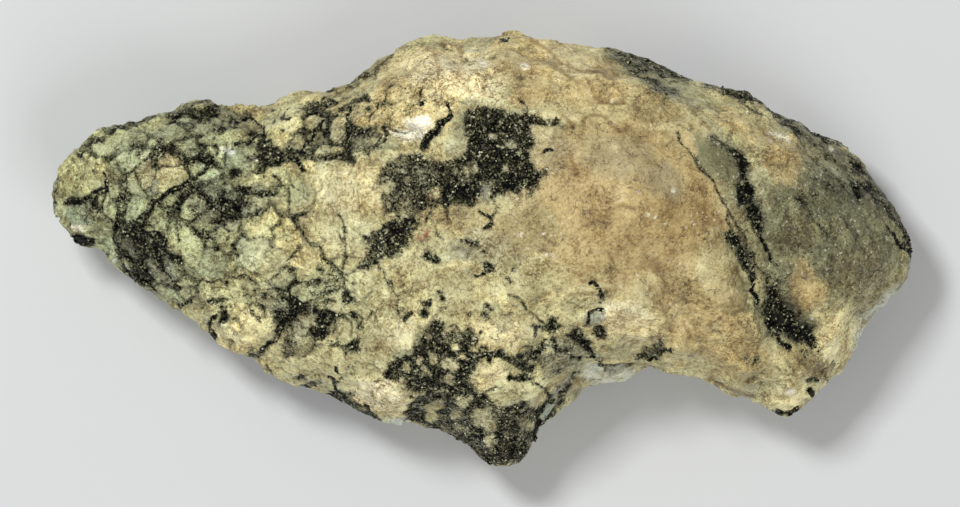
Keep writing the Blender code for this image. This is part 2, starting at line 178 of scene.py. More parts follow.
ORE_PATCHES: tuple[Patches, ...] = (
    Patches(Grade.PACKED, (
        ((24.0, 10.4), (24.6, 10.2), (26.2, 9.3), (26.6, 8.6), (26.6, 6.9), (25.6, 7.0), (25.4, 7.7),
         (24.8, 9.2)),
        ((25.3, 9.3), (26.2, 9.1), (26.5, 8.2), (26.5, 7.2), (25.8, 7.2), (25.9, 8.2)),
        ((27.1, 5.6), (27.6, 4.6), (27.8, 3.8), (28.1, 2.6), (28.0, 1.8), (27.5, 1.4), (26.9, 2.2),
         (26.3, 3.0), (25.9, 3.8), (26.6, 4.6)),
        ((27.3, 4.2), (27.8, 3.8), (28.1, 2.6), (27.6, 1.6), (27.0, 2.4), (27.0, 3.4)),
        ((24.1, 1.6), (25.0, 1.9), (25.6, 1.6), (26.2, 0.6), (26.7, -0.3), (27.0, -1.2), (27.5, -3.0),
         (27.0, -3.2), (26.4, -2.3), (25.2, -0.4)),
        ((26.2, -0.8), (26.9, -1.2), (27.4, -2.8), (26.8, -2.8), (26.0, -1.6)),
        ((28.4, -3.4), (29.4, -3.2), (29.8, -4.6), (30.4, -5.6), (31.6, -6.9), (32.9, -7.8), (33.3, -8.8),
         (33.9, -9.7), (33.0, -9.8), (31.2, -9.1), (30.6, -8.4), (28.3, -7.8), (27.9, -6.2), (28.6, -4.8)),
        ((31.2, -7.9), (32.7, -7.7), (33.2, -8.6), (33.6, -9.5), (32.4, -9.1)),
        ((28.6, -5.0), (29.4, -4.6), (30.2, -6.2), (29.8, -7.2), (28.6, -6.8)))),
    Patches(Grade.SOLID, (
        ((-0.4, 13.0), (2.6, 13.0), (3.4, 11.8), (2.0, 10.9), (0.0, 11.4)),
        ((0.2, 9.6), (2.6, 9.8), (4.7, 9.6), (4.8, 8.4), (3.2, 8.2), (1.0, 8.4)),
        ((-3.6, 6.0), (-2.0, 6.6), (0.2, 7.4), (0.9, 7.0), (-0.4, 5.2), (-2.4, 4.8)),
        ((1.3, 6.9), (2.8, 7.2), (4.4, 7.4), (5.8, 7.6), (6.2, 7.2), (4.8, 6.6), (3.0, 6.0), (1.6, 5.2)),
        ((-9.5, 1.8), (-8.4, 2.6), (-7.2, 2.9), (-6.6, 2.4), (-7.6, 1.0), (-8.6, 0.2), (-9.6, 0.6)),
        ((-27.1, 2.9), (-26.3, 3.2), (-25.7, 2.8), (-25.6, 2.3), (-27.0, 2.2)),
        ((-13.4, -3.6), (-12.2, -4.8), (-12.4, -5.2), (-13.4, -5.4), (-13.9, -4.9)),
        ((-12.4, -7.3), (-12.2, -7.0), (-11.2, -7.6), (-12.0, -7.7)),
        ((5.1, -7.4), (6.0, -7.4), (6.5, -7.0), (7.2, -6.8), (7.7, -7.0), (7.8, -7.7), (7.3, -8.2),
         (6.0, -7.6), (5.5, -7.9)),
        ((11.1, -7.9), (11.5, -7.4), (12.3, -7.3), (12.8, -8.5), (11.7, -8.8)),
        ((8.8, -12.2), (9.8, -11.9), (10.1, -12.2), (9.2, -12.8)),
        ((25.2, 7.0), (26.6, 6.9), (27.1, 6.3), (27.2, 5.4), (26.4, 4.0), (25.4, 4.5), (25.2, 5.5)))),
    Patches(Grade.RICH, (
        ((-1.7, 13.0), (-1.4, 13.9), (-0.1, 14.4), (1.6, 14.0), (1.9, 13.6), (3.3, 13.4), (4.0, 13.0),
         (4.6, 13.8), (5.0, 13.2), (5.6, 13.2), (6.5, 13.0), (6.8, 12.6), (7.6, 12.9), (8.4, 12.1),
         (7.0, 12.2), (5.2, 12.2), (5.0, 11.4), (5.3, 10.5), (5.0, 9.8), (5.2, 8.8), (5.4, 8.0), (6.1, 7.9),
         (6.7, 7.8), (6.5, 6.9), (6.1, 6.7), (6.3, 6.3), (5.6, 6.0), (5.3, 5.4), (5.0, 5.0), (4.7, 6.0),
         (4.0, 6.2), (3.9, 5.4), (2.9, 5.7), (1.9, 5.2), (1.5, 4.5), (1.0, 5.6), (1.2, 7.0), (0.4, 6.6),
         (0.2, 5.6), (-0.6, 4.4), (-1.4, 4.2), (-3.0, 4.5), (-3.8, 4.2), (-3.9, 6.6), (-2.8, 7.1),
         (-2.1, 8.0), (-1.1, 7.6), (-0.9, 8.6), (-1.7, 9.3), (-1.2, 10.0), (-0.9, 11.0), (-1.7, 12.0)),
        ((-12.1, 1.5), (-11.0, 1.7), (-9.8, 2.1), (-9.2, 2.7), (-8.4, 3.0), (-7.7, 3.0), (-7.0, 3.7),
         (-6.3, 3.6), (-6.1, 2.6), (-6.5, 1.7), (-7.4, 0.1), (-8.2, -0.8), (-9.2, -0.6), (-10.0, -1.1),
         (-11.0, -1.2), (-11.8, -1.0), (-11.2, -0.3), (-11.0, 0.4), (-11.6, 0.9)),
        ((0.0, -19.4), (1.2, -19.7), (2.5, -19.8), (3.8, -19.1), (4.7, -19.4), (4.2, -20.8), (3.0, -21.3),
         (1.5, -21.4), (0.0, -21.0)),
        ((-36.0, -1.4), (-35.4, -1.3), (-34.4, -2.0), (-33.4, -0.7), (-31.9, -0.8), (-33.1, -1.4),
         (-32.9, -3.6), (-34.4, -3.0), (-35.6, -2.3)),
        ((-31.2, -0.2), (-30.2, -0.1), (-29.6, -0.7), (-29.6, -1.6), (-30.8, -1.0), (-31.4, -1.2)),
        ((-24.9, 8.1), (-24.2, 8.3), (-23.4, 7.6), (-21.3, 8.6), (-21.2, 8.0), (-23.0, 6.9), (-24.4, 7.0),
         (-24.9, 7.4)),
        ((-28.4, 10.9), (-27.4, 10.9), (-26.9, 10.2), (-28.3, 10.0)),
        ((-22.0, 10.9), (-21.0, 11.3), (-20.2, 10.6), (-19.4, 9.9), (-17.2, 10.2), (-16.3, 9.9),
         (-17.2, 9.4), (-17.4, 8.6), (-18.8, 8.6), (-20.4, 8.0), (-22.0, 8.6)),
        ((-20.4, -4.6), (-19.0, -4.2), (-17.0, -5.0), (-16.6, -5.6), (-17.6, -6.4), (-18.4, -6.6),
         (-19.6, -8.2), (-20.2, -8.9), (-20.8, -8.9), (-20.3, -7.4)),
        ((-16.2, -6.2), (-14.3, -6.0), (-14.9, -7.3), (-15.2, -8.6), (-15.6, -9.1), (-16.4, -8.9),
         (-16.8, -8.2), (-16.8, -7.2)),
        ((-13.4, -9.4), (-12.4, -9.0), (-12.0, -8.4), (-11.8, -9.4), (-12.2, -10.1), (-13.2, -9.9)),
        ((-14.8, -14.3), (-13.9, -14.0), (-12.8, -14.4), (-12.4, -15.2), (-11.7, -15.7), (-12.4, -16.0),
         (-13.7, -15.2)),
        ((11.3, -4.1), (12.4, -3.9), (12.5, -4.3), (12.1, -4.8), (11.6, -4.9)),
        ((8.3, -8.2), (9.2, -7.8), (9.7, -7.4), (10.1, -7.7), (10.3, -8.6), (10.9, -9.2), (11.4, -10.3),
         (12.1, -10.8), (11.9, -11.1), (10.1, -9.7), (8.8, -8.6)),
        ((7.7, -13.8), (8.6, -13.0), (9.0, -13.6), (8.3, -14.4), (7.6, -15.4), (7.2, -15.0)),
        ((36.5, 9.4), (37.5, 9.1), (38.4, 8.0), (38.0, 7.2), (37.2, 7.8)),
        ((36.2, 7.0), (38.5, 6.6), (39.6, 5.8), (40.0, 5.0), (38.9, 5.2), (37.6, 4.9)),
        ((38.4, 7.7), (39.5, 6.4), (40.4, 5.1), (41.2, 3.9), (41.8, 2.9), (42.6, 1.7), (43.3, 0.5),
         (43.3, -0.6), (42.6, -0.4), (42.2, 1.2), (41.2, 2.6), (40.2, 3.8), (39.0, 6.2)),
        ((25.5, 16.1), (27.0, 15.6), (28.4, 14.7), (28.0, 14.2), (26.3, 14.9), (25.2, 15.4)))),
    Patches(Grade.FAIR, (
        ((-9.3, -12.3), (-8.9, -11.2), (-8.0, -10.8), (-7.3, -10.2), (-6.7, -10.1), (-5.9, -8.9),
         (-5.2, -8.7), (-4.9, -7.1), (-4.2, -6.9), (-3.4, -7.2), (-3.3, -7.8), (-2.4, -7.6), (-1.3, -8.3),
         (-0.8, -9.0), (-1.0, -9.8), (0.0, -10.1), (2.4, -10.3), (4.2, -10.2), (4.4, -9.4), (5.2, -9.8),
         (5.9, -9.5), (6.2, -9.1), (6.8, -9.1), (6.1, -10.0), (5.7, -10.9), (5.3, -11.3), (5.3, -12.0),
         (4.5, -12.3), (3.4, -11.5), (2.8, -10.9), (1.2, -10.7), (0.4, -10.9), (-0.4, -11.6), (-0.9, -12.6),
         (-0.6, -13.8), (0.9, -14.7), (-0.6, -15.4), (-3.4, -14.8), (-5.9, -14.0), (-6.6, -14.0),
         (-6.9, -13.6), (-7.4, -12.9), (-8.6, -12.8)),
        ((-5.9, -14.0), (-3.4, -14.6), (-0.6, -14.6), (0.9, -14.8), (2.4, -15.6), (5.0, -15.6),
         (5.6, -17.0), (5.5, -18.4), (4.6, -20.4), (3.0, -21.3), (0.5, -21.0), (-1.4, -19.8), (-3.4, -18.2),
         (-5.2, -17.5), (-7.4, -17.0), (-7.7, -16.2), (-7.2, -15.6)),
        ((-36.6, 1.4), (-34.8, 2.8), (-31.4, 1.2), (-30.0, -1.2), (-32.4, -3.2), (-35.6, -1.4)),
        ((-13.5, 12.5), (-11.5, 12.3), (-9.6, 11.6), (-9.4, 10.7), (-10.6, 9.7), (-12.4, 9.4),
         (-13.4, 10.2)))),
    Patches(Grade.MIXED, (
        ((-10.0, 7.6), (-9.1, 8.4), (-8.4, 8.9), (-7.7, 9.3), (-6.4, 9.4), (-5.4, 9.8), (-4.2, 8.9),
         (-4.3, 7.3), (-4.9, 6.7), (-5.4, 5.6), (-5.0, 5.0), (-3.7, 5.0), (-4.6, 4.2), (-5.3, 4.4),
         (-6.2, 3.8), (-7.6, 3.3), (-9.2, 3.2), (-9.6, 4.0), (-9.7, 5.0), (-10.0, 6.4)),
        ((-5.2, 9.4), (-3.4, 8.6), (-1.6, 9.4), (-1.0, 8.2), (-2.6, 7.0), (-3.6, 4.4), (-4.8, 4.6),
         (-5.2, 6.2)),
        ((-28.6, 6.4), (-27.6, 6.8), (-26.6, 6.6), (-25.6, 5.9), (-23.6, 6.2), (-22.4, 5.5), (-23.6, 4.4),
         (-23.4, 3.6), (-25.2, 3.3), (-26.0, 3.6), (-25.6, 4.4), (-26.2, 5.0), (-28.0, 5.6)),
        ((-34.9, 10.6), (-34.0, 10.9), (-33.4, 10.4), (-33.4, 9.4), (-34.2, 9.0), (-35.0, 9.8)),
        ((-27.4, 6.4), (-23.0, 5.8), (-22.4, 4.4), (-24.6, 2.8), (-27.0, 3.4)),
        ((-19.6, -9.4), (-18.8, -8.6), (-18.2, -9.2), (-18.4, -10.6), (-19.6, -10.9)),
        ((16.2, -9.9), (17.0, -9.6), (17.2, -9.0), (17.8, -9.0), (18.3, -9.9), (17.9, -10.7),
         (16.2, -11.0)),
        ((26.2, 14.3), (27.8, 14.2), (28.2, 13.4), (26.6, 13.5)),
        ((13.0, 20.4), (15.0, 20.1), (18.0, 18.9), (21.0, 17.4), (22.0, 16.9), (19.6, 16.8), (17.4, 17.6),
         (16.0, 17.4), (14.4, 18.8)))),
    Patches(Grade.LEAN, (
        ((-19.6, -1.6), (-16.0, -1.6), (-13.0, -2.2), (-12.2, -5.4), (-16.4, -4.6), (-20.4, -4.6)),
        ((-25.0, -4.0), (-21.0, -3.8), (-20.6, -7.0), (-24.8, -6.8)),
        ((-20.4, -4.2), (-16.4, -4.0), (-12.6, -5.4), (-14.0, -9.0), (-17.4, -10.0), (-20.0, -8.6)),
        ((-30.0, 5.6), (-27.0, 7.4), (-21.4, 6.4), (-20.6, 4.2), (-23.6, 1.6), (-28.0, 1.4), (-30.4, 3.0)),
        ((-17.2, 14.0), (-13.6, 15.6), (-10.0, 15.0), (-7.4, 15.2), (-5.4, 14.6), (-7.4, 13.4),
         (-9.0, 12.4), (-9.4, 10.2), (-12.6, 9.2), (-15.4, 9.2), (-17.2, 11.0)),
        ((6.4, -9.2), (9.6, -9.0), (10.2, -11.4), (8.4, -12.6), (6.2, -12.4)),
        ((28.2, -1.4), (29.4, -1.8), (30.4, -2.6), (30.6, -4.4), (29.6, -4.8), (27.8, -4.2)),
        ((31.4, -9.2), (33.4, -9.9), (35.0, -11.6), (34.4, -12.8), (32.4, -11.2)),
        ((33.0, 10.0), (35.0, 10.2), (37.0, 9.6), (38.6, 7.4), (40.1, 5.6), (40.4, 4.2), (39.0, 4.6),
         (37.5, 5.0), (36.0, 5.6), (34.0, 5.3), (31.4, 4.8), (30.6, 5.6), (32.0, 6.3), (33.8, 7.5)))),
)

ORE_STREAKS: tuple[Streaks, ...] = (
    Streaks(Grade.SOLID, 0.20, (
        ((-31.9, 11.7), (-31.5, 11.5)), ((-31.8, 9.9), (-31.6, 9.5), (-31.3, 10.1)),
        ((-22.8, 13.2), (-22.2, 12.6), (-21.6, 12.0), (-21.4, 11.6)),
        ((-15.1, 13.0), (-16.0, 12.1), (-16.6, 11.1), (-17.6, 10.1)), ((0.1, 3.7), (0.9, 3.0)),
        ((0.4, 2.1), (0.9, 2.5)), ((-0.3, -2.6), (0.4, -2.3)), ((-3.3, 14.6), (-3.0, 13.6), (-3.2, 12.8)),
        ((8.3, 10.35),), ((6.4, 9.5), (7.0, 9.8)), ((2.1, 20.8), (3.0, 20.8)), ((17.9, -8.9), (18.1, -9.4)),
        ((18.0, -10.0), (19.0, -9.8)), ((17.6, -10.8), (16.7, -10.9)), ((-14.1, -11.6), (-14.0, -12.1)),
        ((-15.0, -12.5), (-14.6, -12.9), (-14.1, -14.1)), ((-14.0, -12.9), (-14.3, -13.4)),
        ((-11.3, -15.4), (-11.0, -15.7)), ((-26.9, -7.0), (-26.5, -6.9)),
        ((29.5, -8.6), (30.1, -9.2), (30.7, -9.9)), ((26.9, -3.2), (27.2, -4.4), (27.4, -5.2)),
        ((27.6, 1.3), (28.3, 0.2), (28.7, -0.9)), ((10.8, -3.5), (11.4, -3.2), (11.8, -3.8), (12.0, -4.2)),
        ((11.8, -5.2),), ((10.7, -7.1), (10.9, -6.1), (11.4, -5.95), (12.1, -6.1)), ((-6.9, -14.6),),
        ((0.1, -8.2),), ((28.9, -15.9), (29.5, -16.2), (31.3, -16.2), (31.7, -15.9)))),
    Streaks(Grade.SOLID, 0.30, (
        ((-33.8, 3.2), (-33.0, 3.7), (-32.2, 4.7), (-31.2, 5.3), (-30.6, 6.0), (-29.3, 6.3), (-28.4, 7.0),
         (-27.4, 7.7), (-26.5, 8.8)), ((-34.0, 2.9), (-33.6, 1.9), (-31.8, 1.6), (-31.2, 0.9)),
        ((-37.0, 11.5), (-35.8, 12.3)), ((-25.0, -3.2),), ((-18.0, 8.6), (-17.6, 7.9)),
        ((-18.4, 3.4), (-18.6, 2.9)), ((-5.7, 14.4),), ((-26.9, -7.3), (-26.8, -8.0), (-26.4, -8.6)),
        ((-22.9, -10.1), (-22.2, -10.5)), ((9.2, -8.5), (10.0, -9.2), (11.3, -10.3)),
        ((9.0, -10.6), (9.9, -10.7)), ((6.9, -14.2), (6.8, -14.8), (6.0, -15.9)),
        ((6.1, -17.4), (6.6, -16.5), (7.3, -15.9)), ((5.6, -16.0), (5.8, -17.2), (5.3, -18.7)),
        ((-21.9, -9.9), (-20.8, -9.0)), ((32.7, -13.8), (33.2, -14.2)),
        ((37.0, 8.6), (37.9, 8.2), (38.1, 7.6)), ((40.3, 2.2), (41.0, 1.5), (42.3, 0.2), (42.7, -0.5)))),
    Streaks(Grade.SOLID, 0.45, (
        ((-40.4, 1.4), (-38.8, 0.9)), ((-31.6, 4.9),), ((-30.4, 5.9),), ((-40.3, 5.0),),
        ((-25.4, 5.0), (-24.0, 4.0)), ((-3.1, 13.0), (-4.3, 11.8), (-5.6, 10.3)), ((-9.1, -12.3),),
        ((-6.4, -13.2), (-4.6, -12.8)), ((-4.2, -14.4),), ((-2.8, -13.6),), ((-4.3, -7.5),),
        ((-3.9, -16.1),), ((-4.9, -17.7), (-4.1, -17.8)), ((3.2, -19.8), (3.2, -20.6)), ((-5.4, -15.0),),
        ((-14.7, -14.2),))),
    Streaks(Grade.SOLID, 0.75, (
        ((-6.4, -16.3),),)),
    Streaks(Grade.RICH, 0.25, (
        ((-37.3, 7.5), (-36.9, 6.8), (-37.2, 5.9)), ((-36.2, 0.2), (-36.0, -0.4)),
        ((-31.6, -1.2), (-31.6, -2.4)), ((-27.0, 1.2), (-25.6, 1.4)), ((-38.6, 11.6), (-38.0, 11.6)),
        ((-25.2, 2.6), (-24.9, 1.6), (-25.0, 0.8), (-24.0, -0.4)), ((-26.9, -5.0), (-25.3, -4.9)),
        ((-30.0, -5.1), (-29.2, -5.4), (-28.7, -4.8)), ((-24.9, 12.3), (-24.3, 12.0)),
        ((-22.8, 10.9), (-21.9, 10.9)), ((-26.4, 10.1), (-26.2, 9.4)), ((-24.6, 10.4), (-23.0, 10.6)),
        ((-27.9, 9.3), (-27.2, 8.8), (-26.4, 8.9)), ((-17.0, 14.1), (-17.1, 13.3), (-17.6, 13.0)),
        ((-16.6, 14.2), (-15.7, 14.3)), ((-19.1, 13.9), (-19.7, 13.1), (-19.0, 13.0)), ((-20.4, 12.6),),
        ((-9.6, 12.1), (-9.1, 11.3), (-9.3, 10.7)), ((-14.9, -4.7), (-14.3, -5.0)),
        ((-15.7, -2.9), (-16.7, -3.0), (-17.1, -3.6)), ((-3.9, -4.1), (-3.6, -4.7)),
        ((-18.6, -1.9), (-17.4, -2.0)), ((-16.2, -1.8), (-15.4, -1.9)), ((-18.3, 3.6), (-17.2, 3.6)),
        ((-6.9, -6.3), (-7.4, -6.9)), ((0.3, -0.1),), ((-10.7, -6.4), (-11.0, -6.8)),
        ((-18.5, -12.8), (-17.5, -12.5)), ((-17.8, -13.4), (-16.0, -13.1)),
        ((-21.2, -11.6), (-20.8, -12.1)), ((-25.6, -6.2), (-25.9, -7.5)), ((5.5, -7.9), (5.4, -8.4)),
        ((7.7, -12.1),), ((7.4, -15.6), (8.2, -14.8)), ((15.7, -10.8), (16.6, -10.2)),
        ((11.8, -10.9), (12.5, -11.6)), ((32.4, -13.1), (33.5, -12.9)), ((34.4, -12.7),), ((2.9, -3.0),),
        ((1.1, -5.9),), ((4.4, -9.4), (5.0, -9.7)), ((-12.6, -6.3), (-12.3, -6.7)),
        ((22.0, 16.9), (24.0, 16.4), (25.0, 15.8)), ((32.3, 12.6), (34.0, 11.5), (35.0, 10.8)),
        ((-15.0, -14.3), (-12.6, -15.7), (-10.0, -17.0)))),
    Streaks(Grade.RICH, 0.36, (
        ((-41.2, 4.8), (-39.5, 5.0), (-38.6, 5.5), (-37.8, 6.2), (-37.3, 5.8)),
        ((-36.5, 5.0), (-35.9, 4.9), (-35.4, 5.4)),
        ((-36.2, 4.6), (-36.0, 3.6), (-36.4, 1.8), (-36.3, 0.8)),
        ((-36.2, 0.9), (-34.6, 0.6), (-34.0, 1.2)), ((-27.3, 1.6), (-26.6, 0.9), (-26.2, 0.2)),
        ((-23.6, 6.2), (-22.7, 5.6), (-20.4, 5.6)), ((-25.6, -5.6), (-25.5, -7.0)),
        ((-38.6, 10.8), (-37.2, 10.9)), ((-39.7, 9.4), (-39.5, 9.0)), ((-30.2, 12.9), (-29.9, 12.3)),
        ((-28.6, 14.4), (-27.6, 14.5), (-26.4, 13.8)), ((-27.2, 12.7), (-26.6, 12.2), (-26.6, 11.0)),
        ((-28.0, 11.3), (-26.6, 11.5), (-25.0, 12.2)), ((-24.8, 12.9), (-24.2, 12.6), (-23.4, 13.1)),
        ((-22.8, 11.5), (-22.2, 11.2), (-21.4, 11.3)), ((-14.9, 14.9), (-14.3, 14.5)),
        ((-13.7, 13.9), (-12.9, 14.4), (-11.1, 14.9)), ((-10.3, 14.4),), ((-11.0, 13.7),),
        ((-13.0, 14.0), (-12.8, 12.4)), ((-15.0, 13.7), (-14.9, 11.9), (-14.9, 10.1)), ((-19.6, 11.8),),
        ((-14.0, 12.3), (-13.1, 11.6), (-13.6, 11.1), (-13.1, 9.3)), ((-14.3, 10.7),), ((-10.9, 9.3),),
        ((-11.9, 9.9),), ((-15.4, 11.4),), ((-21.6, -5.3), (-21.3, -6.4)), ((-16.3, -6.1), (-14.2, -6.5)),
        ((-13.2, -2.4), (-12.0, -1.7), (-10.2, -1.3)), ((-1.7, 1.0), (-0.9, 0.6), (-0.3, 0.7)),
        ((2.9, -2.9),), ((3.3, -1.8),), ((-1.1, -6.4),), ((0.7, -5.6),), ((0.7, 2.3),), ((-8.0, -6.2),),
        ((-12.2, -15.3), (-10.0, -17.0)), ((8.5, -9.9), (8.8, -10.2)), ((7.2, -9.0), (7.8, -9.8)),
        ((8.6, -11.2),), ((2.9, -12.5), (4.9, -12.5)), ((0.0, -10.3), (2.2, -10.2)),
        ((1.0, -10.9), (1.5, -11.6)), ((2.5, -16.0), (4.4, -15.4), (5.2, -15.8)),
        ((29.8, 13.4), (30.4, 12.6), (31.4, 11.8), (32.3, 11.2), (33.0, 10.2)), ((10.6, -7.2),),
        ((30.8, 13.1), (32.2, 12.9), (32.9, 12.0), (34.4, 10.9), (36.0, 10.4)), ((7.0, -6.9),),
        ((-22.8, -6.0), (-22.0, -6.8)), ((28.6, 14.0), (29.8, 13.2)), ((31.8, 4.4),))),
    Streaks(Grade.SOLID, 0.60, (
        ((0.9, -1.7),), ((-5.2, -0.5),), ((-4.3, -0.9),), ((-5.5, -6.1),))),
    Streaks(Grade.RICH, 0.65, (
        ((-30.6, 13.0), (-30.0, 13.4), (-28.9, 14.0)), ((-28.6, 13.3), (-27.2, 13.4), (-26.4, 13.6)),
        ((-5.2, -5.2),))),
    Streaks(Grade.MIXED, 0.40, (
        ((-42.8, 5.8), (-42.4, 4.2)), ((-42.3, 7.2), (-42.6, 6.2)), ((-39.3, 10.0), (-38.9, 10.4)),
        ((-35.2, 12.3), (-34.4, 12.6), (-32.6, 13.4), (-31.8, 13.5)), ((-34.6, 3.0),),
        ((-13.0, 16.3), (-11.9, 17.0), (-10.7, 17.5)), ((-16.9, 15.7),), ((-22.0, -4.2), (-20.0, -4.4)),
        ((0.5, -6.6),), ((0.3, -9.7),), ((-1.2, -8.0), (-0.7, -8.8)), ((12.0, -4.4),),
        ((28.6, -8.0), (29.4, -8.4)), ((26.3, -10.8),), ((27.3, -10.9),), ((22.8, 10.8), (24.2, 10.4)),
        ((-22.6, -9.8),))),
    Streaks(Grade.MIXED, 0.70, (
        ((13.0, 19.9), (14.0, 19.0), (15.4, 17.8), (16.6, 16.7)),
        ((16.9, 16.4), (18.2, 15.7), (19.2, 15.2)), ((22.4, 16.6), (24.2, 16.1), (26.4, 15.1)),
        ((-2.2, -8.7),))),
)

VEINS: tuple[Veins, ...] = (
    Veins(0.10, (
        ((-37.0, 6.0), (-36.9, 4.0), (-37.3, 3.0)), ((-28.7, 3.2), (-28.2, 2.7)), ((-7.4, 14.6),),
        ((-7.7, 14.9), (-8.3, 14.6), (-9.3, 13.9)), ((-9.1, 11.9), (-7.6, 11.7)),
        ((-19.3, 7.6), (-18.4, 6.2), (-17.1, 5.1)), ((-16.9, 4.3), (-15.5, 5.2)), ((-9.2, 13.4),),
        ((-3.6, 2.9), (-4.1, 2.4), (-4.1, 1.7), (-3.6, 1.0)), ((-17.9, -0.1), (-17.4, -0.9)),
        ((2.3, -2.5),), ((2.4, -7.9),), ((2.2, -8.9),), ((-4.4, -1.6),), ((-2.3, -4.9),), ((12.6, 11.7),),
        ((23.5, 13.1),), ((28.7, -15.6),), ((11.9, -10.2), (12.2, -11.0)), ((-4.3, -5.4), (-3.4, -5.7)),
        ((4.1, -14.0), (4.2, -14.6)), ((-1.3, 18.9),), ((9.2, 11.8), (9.4, 12.1)))),
    Veins(0.14, (
        ((-39.5, 4.6), (-39.4, 3.9), (-39.2, 2.6)), ((-32.9, -3.9), (-32.0, -3.4), (-30.6, -2.3)),
        ((-29.9, -1.9), (-29.4, -2.1)), ((-30.1, 5.0), (-30.0, 2.9), (-29.9, 1.5), (-29.7, 0.8)),
        ((-28.9, -4.1), (-28.2, -3.4), (-26.0, -2.8), (-25.1, -3.6)), ((-38.2, 7.7),), ((-36.3, 7.6),),
        ((-24.9, -2.6), (-24.0, -2.6), (-22.2, -3.3)), ((-27.4, -3.8),), ((-39.5, 9.2),), ((-20.6, 14.0),),
        ((-5.3, 15.9), (-5.9, 15.4), (-6.0, 14.6), (-6.6, 14.2)),
        ((-2.9, 13.6), (-3.4, 12.1), (-3.9, 11.4)), ((-5.9, 14.4), (-5.4, 14.8)), ((-4.3, 14.9),),
        ((-15.1, 9.6), (-15.0, 8.9)), ((-20.5, 7.3), (-19.8, 6.7), (-19.2, 6.0)),
        ((-15.0, -3.0), (-15.1, -3.9), (-16.0, -5.0), (-16.9, -5.1)),
        ((-9.9, -1.6), (-9.3, -2.7), (-8.6, -3.7), (-8.1, -4.6), (-8.0, -6.2)), ((-3.6, 4.3), (-3.1, 2.7)),
        ((32.9, 3.5), (33.4, 2.6), (33.9, 2.0), (34.5, 1.3)),
        ((2.9, -4.3), (4.0, -4.8), (4.6, -5.8), (6.2, -7.2)), ((28.9, -1.2), (29.3, -1.7)),
        ((26.1, 0.9), (27.2, -0.9), (28.7, -3.2)), ((31.5, -6.6), (31.9, -6.1)), ((-10.3, -13.1),),
        ((12.3, -11.4), (13.4, -11.5), (15.4, -11.3)), ((4.0, 14.8), (4.7, 13.9), (4.9, 13.4)),
        ((24.3, 3.9), (24.5, 3.0), (24.7, 2.2)), ((-14.9, 4.4),))),
    Veins(0.17, (
        ((-35.2, 8.0), (-35.0, 6.6), (-35.3, 4.6), (-35.4, 3.6)),
        ((-33.4, 2.7), (-32.6, 2.6), (-32.2, 1.9)), ((-34.3, 8.0), (-33.8, 7.0), (-33.0, 5.4)),
        ((-31.2, 0.9), (-31.2, 0.1), (-31.5, -0.5)), ((-30.0, 3.1), (-28.9, 2.8), (-28.4, 2.2)),
        ((-12.6, -6.1), (-11.7, -6.9)),
        ((-15.2, 15.6), (-13.4, 15.9), (-12.9, 16.6), (-10.1, 18.0), (-8.7, 19.3)),
        ((-8.4, 16.3), (-9.1, 15.9), (-9.4, 15.0), (-10.6, 13.4), (-10.8, 13.2)), ((-9.2, 16.5),),
        ((-14.0, 3.6), (-13.4, 2.4), (-13.3, 1.2), (-13.1, -0.3), (-13.7, -1.9)),
        ((-13.9, 1.4), (-13.3, 0.6)), ((-17.7, 0.4), (-18.6, -0.1), (-18.9, -0.7)),
        ((-13.9, -2.3), (-13.4, -2.9), (-13.6, -3.6), (-15.1, -4.3)), ((-4.7, 3.9), (-5.5, 2.7)),
        ((19.4, 11.5), (19.6, 10.9), (20.6, 9.7), (21.3, 9.1), (21.6, 8.0), (22.6, 7.4), (23.4, 6.0),
         (24.6, 3.8), (25.3, 2.6), (26.6, 0.6)), ((0.1, 3.8), (0.6, 3.2), (1.2, 2.6)),
        ((1.5, 4.0), (0.9, 2.8), (0.3, 1.9)), ((5.0, -12.8), (5.8, -13.4), (7.1, -14.2)),
        ((0.5, -14.2), (1.2, -13.8), (1.9, -13.5)), ((-9.0, -3.3),), ((34.6, 1.2),),
        ((-16.8, -7.6), (-16.6, -9.2), (-16.8, -9.8)), ((32.3, 4.6), (32.9, 3.5)))),
    Veins(0.21, (
        ((-22.0, 5.6), (-21.0, 5.4), (-20.4, 3.9), (-18.7, 2.8), (-17.6, 1.9), (-17.3, 1.2), (-15.7, 0.0),
         (-15.3, -0.9), (-14.0, -2.1), (-13.4, -2.4)),
        ((-17.1, -6.2), (-18.2, -6.4), (-18.6, -7.0), (-20.2, -8.8), (-22.0, -10.3)))),
)

# Where calcite shows through the ore.
PALE_ISLANDS: tuple[Spot, ...] = (
    (-9.1, 6.3, 0.6), (-7.1, 6.9, 0.35), (-4.4, 5.7, 0.5), (-5.6, 3.6, 0.4), (-7.6, 3.6, 0.3),
    (-8.7, 3.4, 0.35), (-4.7, -15.7, 0.7), (-4.8, -16.7, 0.5), (-3.2, -12.8, 0.6), (-2.6, -11.4, 0.5),
    (-1.5, -10.6, 0.4), (-4.0, -15.2, 0.5), (-1.8, -15.0, 0.5), (-2.3, -16.3, 0.5), (-6.0, -11.0, 0.4),
    (-4.7, -10.8, 0.4), (-3.4, -11.2, 0.4), (0.8, -12.4, 1.3), (1.4, -13.3, 0.8), (2.2, -14.6, 1.0),
    (2.0, -11.4, 0.7), (-0.4, 8.0, 0.4), (2.6, 8.0, 0.4), (3.0, 10.4, 0.4), (1.4, 11.3, 0.4),
    (-5.4, -12.1, 0.4), (-7.3, -11.5, 0.4), (-2.6, -9.6, 0.35), (1.0, -17.6, 0.7), (4.6, -17.4, 0.6),
    (1.2, -19.0, 0.5), (5.0, -13.8, 1.0), (0.0, -16.6, 0.8), (-32.4, 8.4, 1.2), (-30.4, 7.4, 0.9),
)

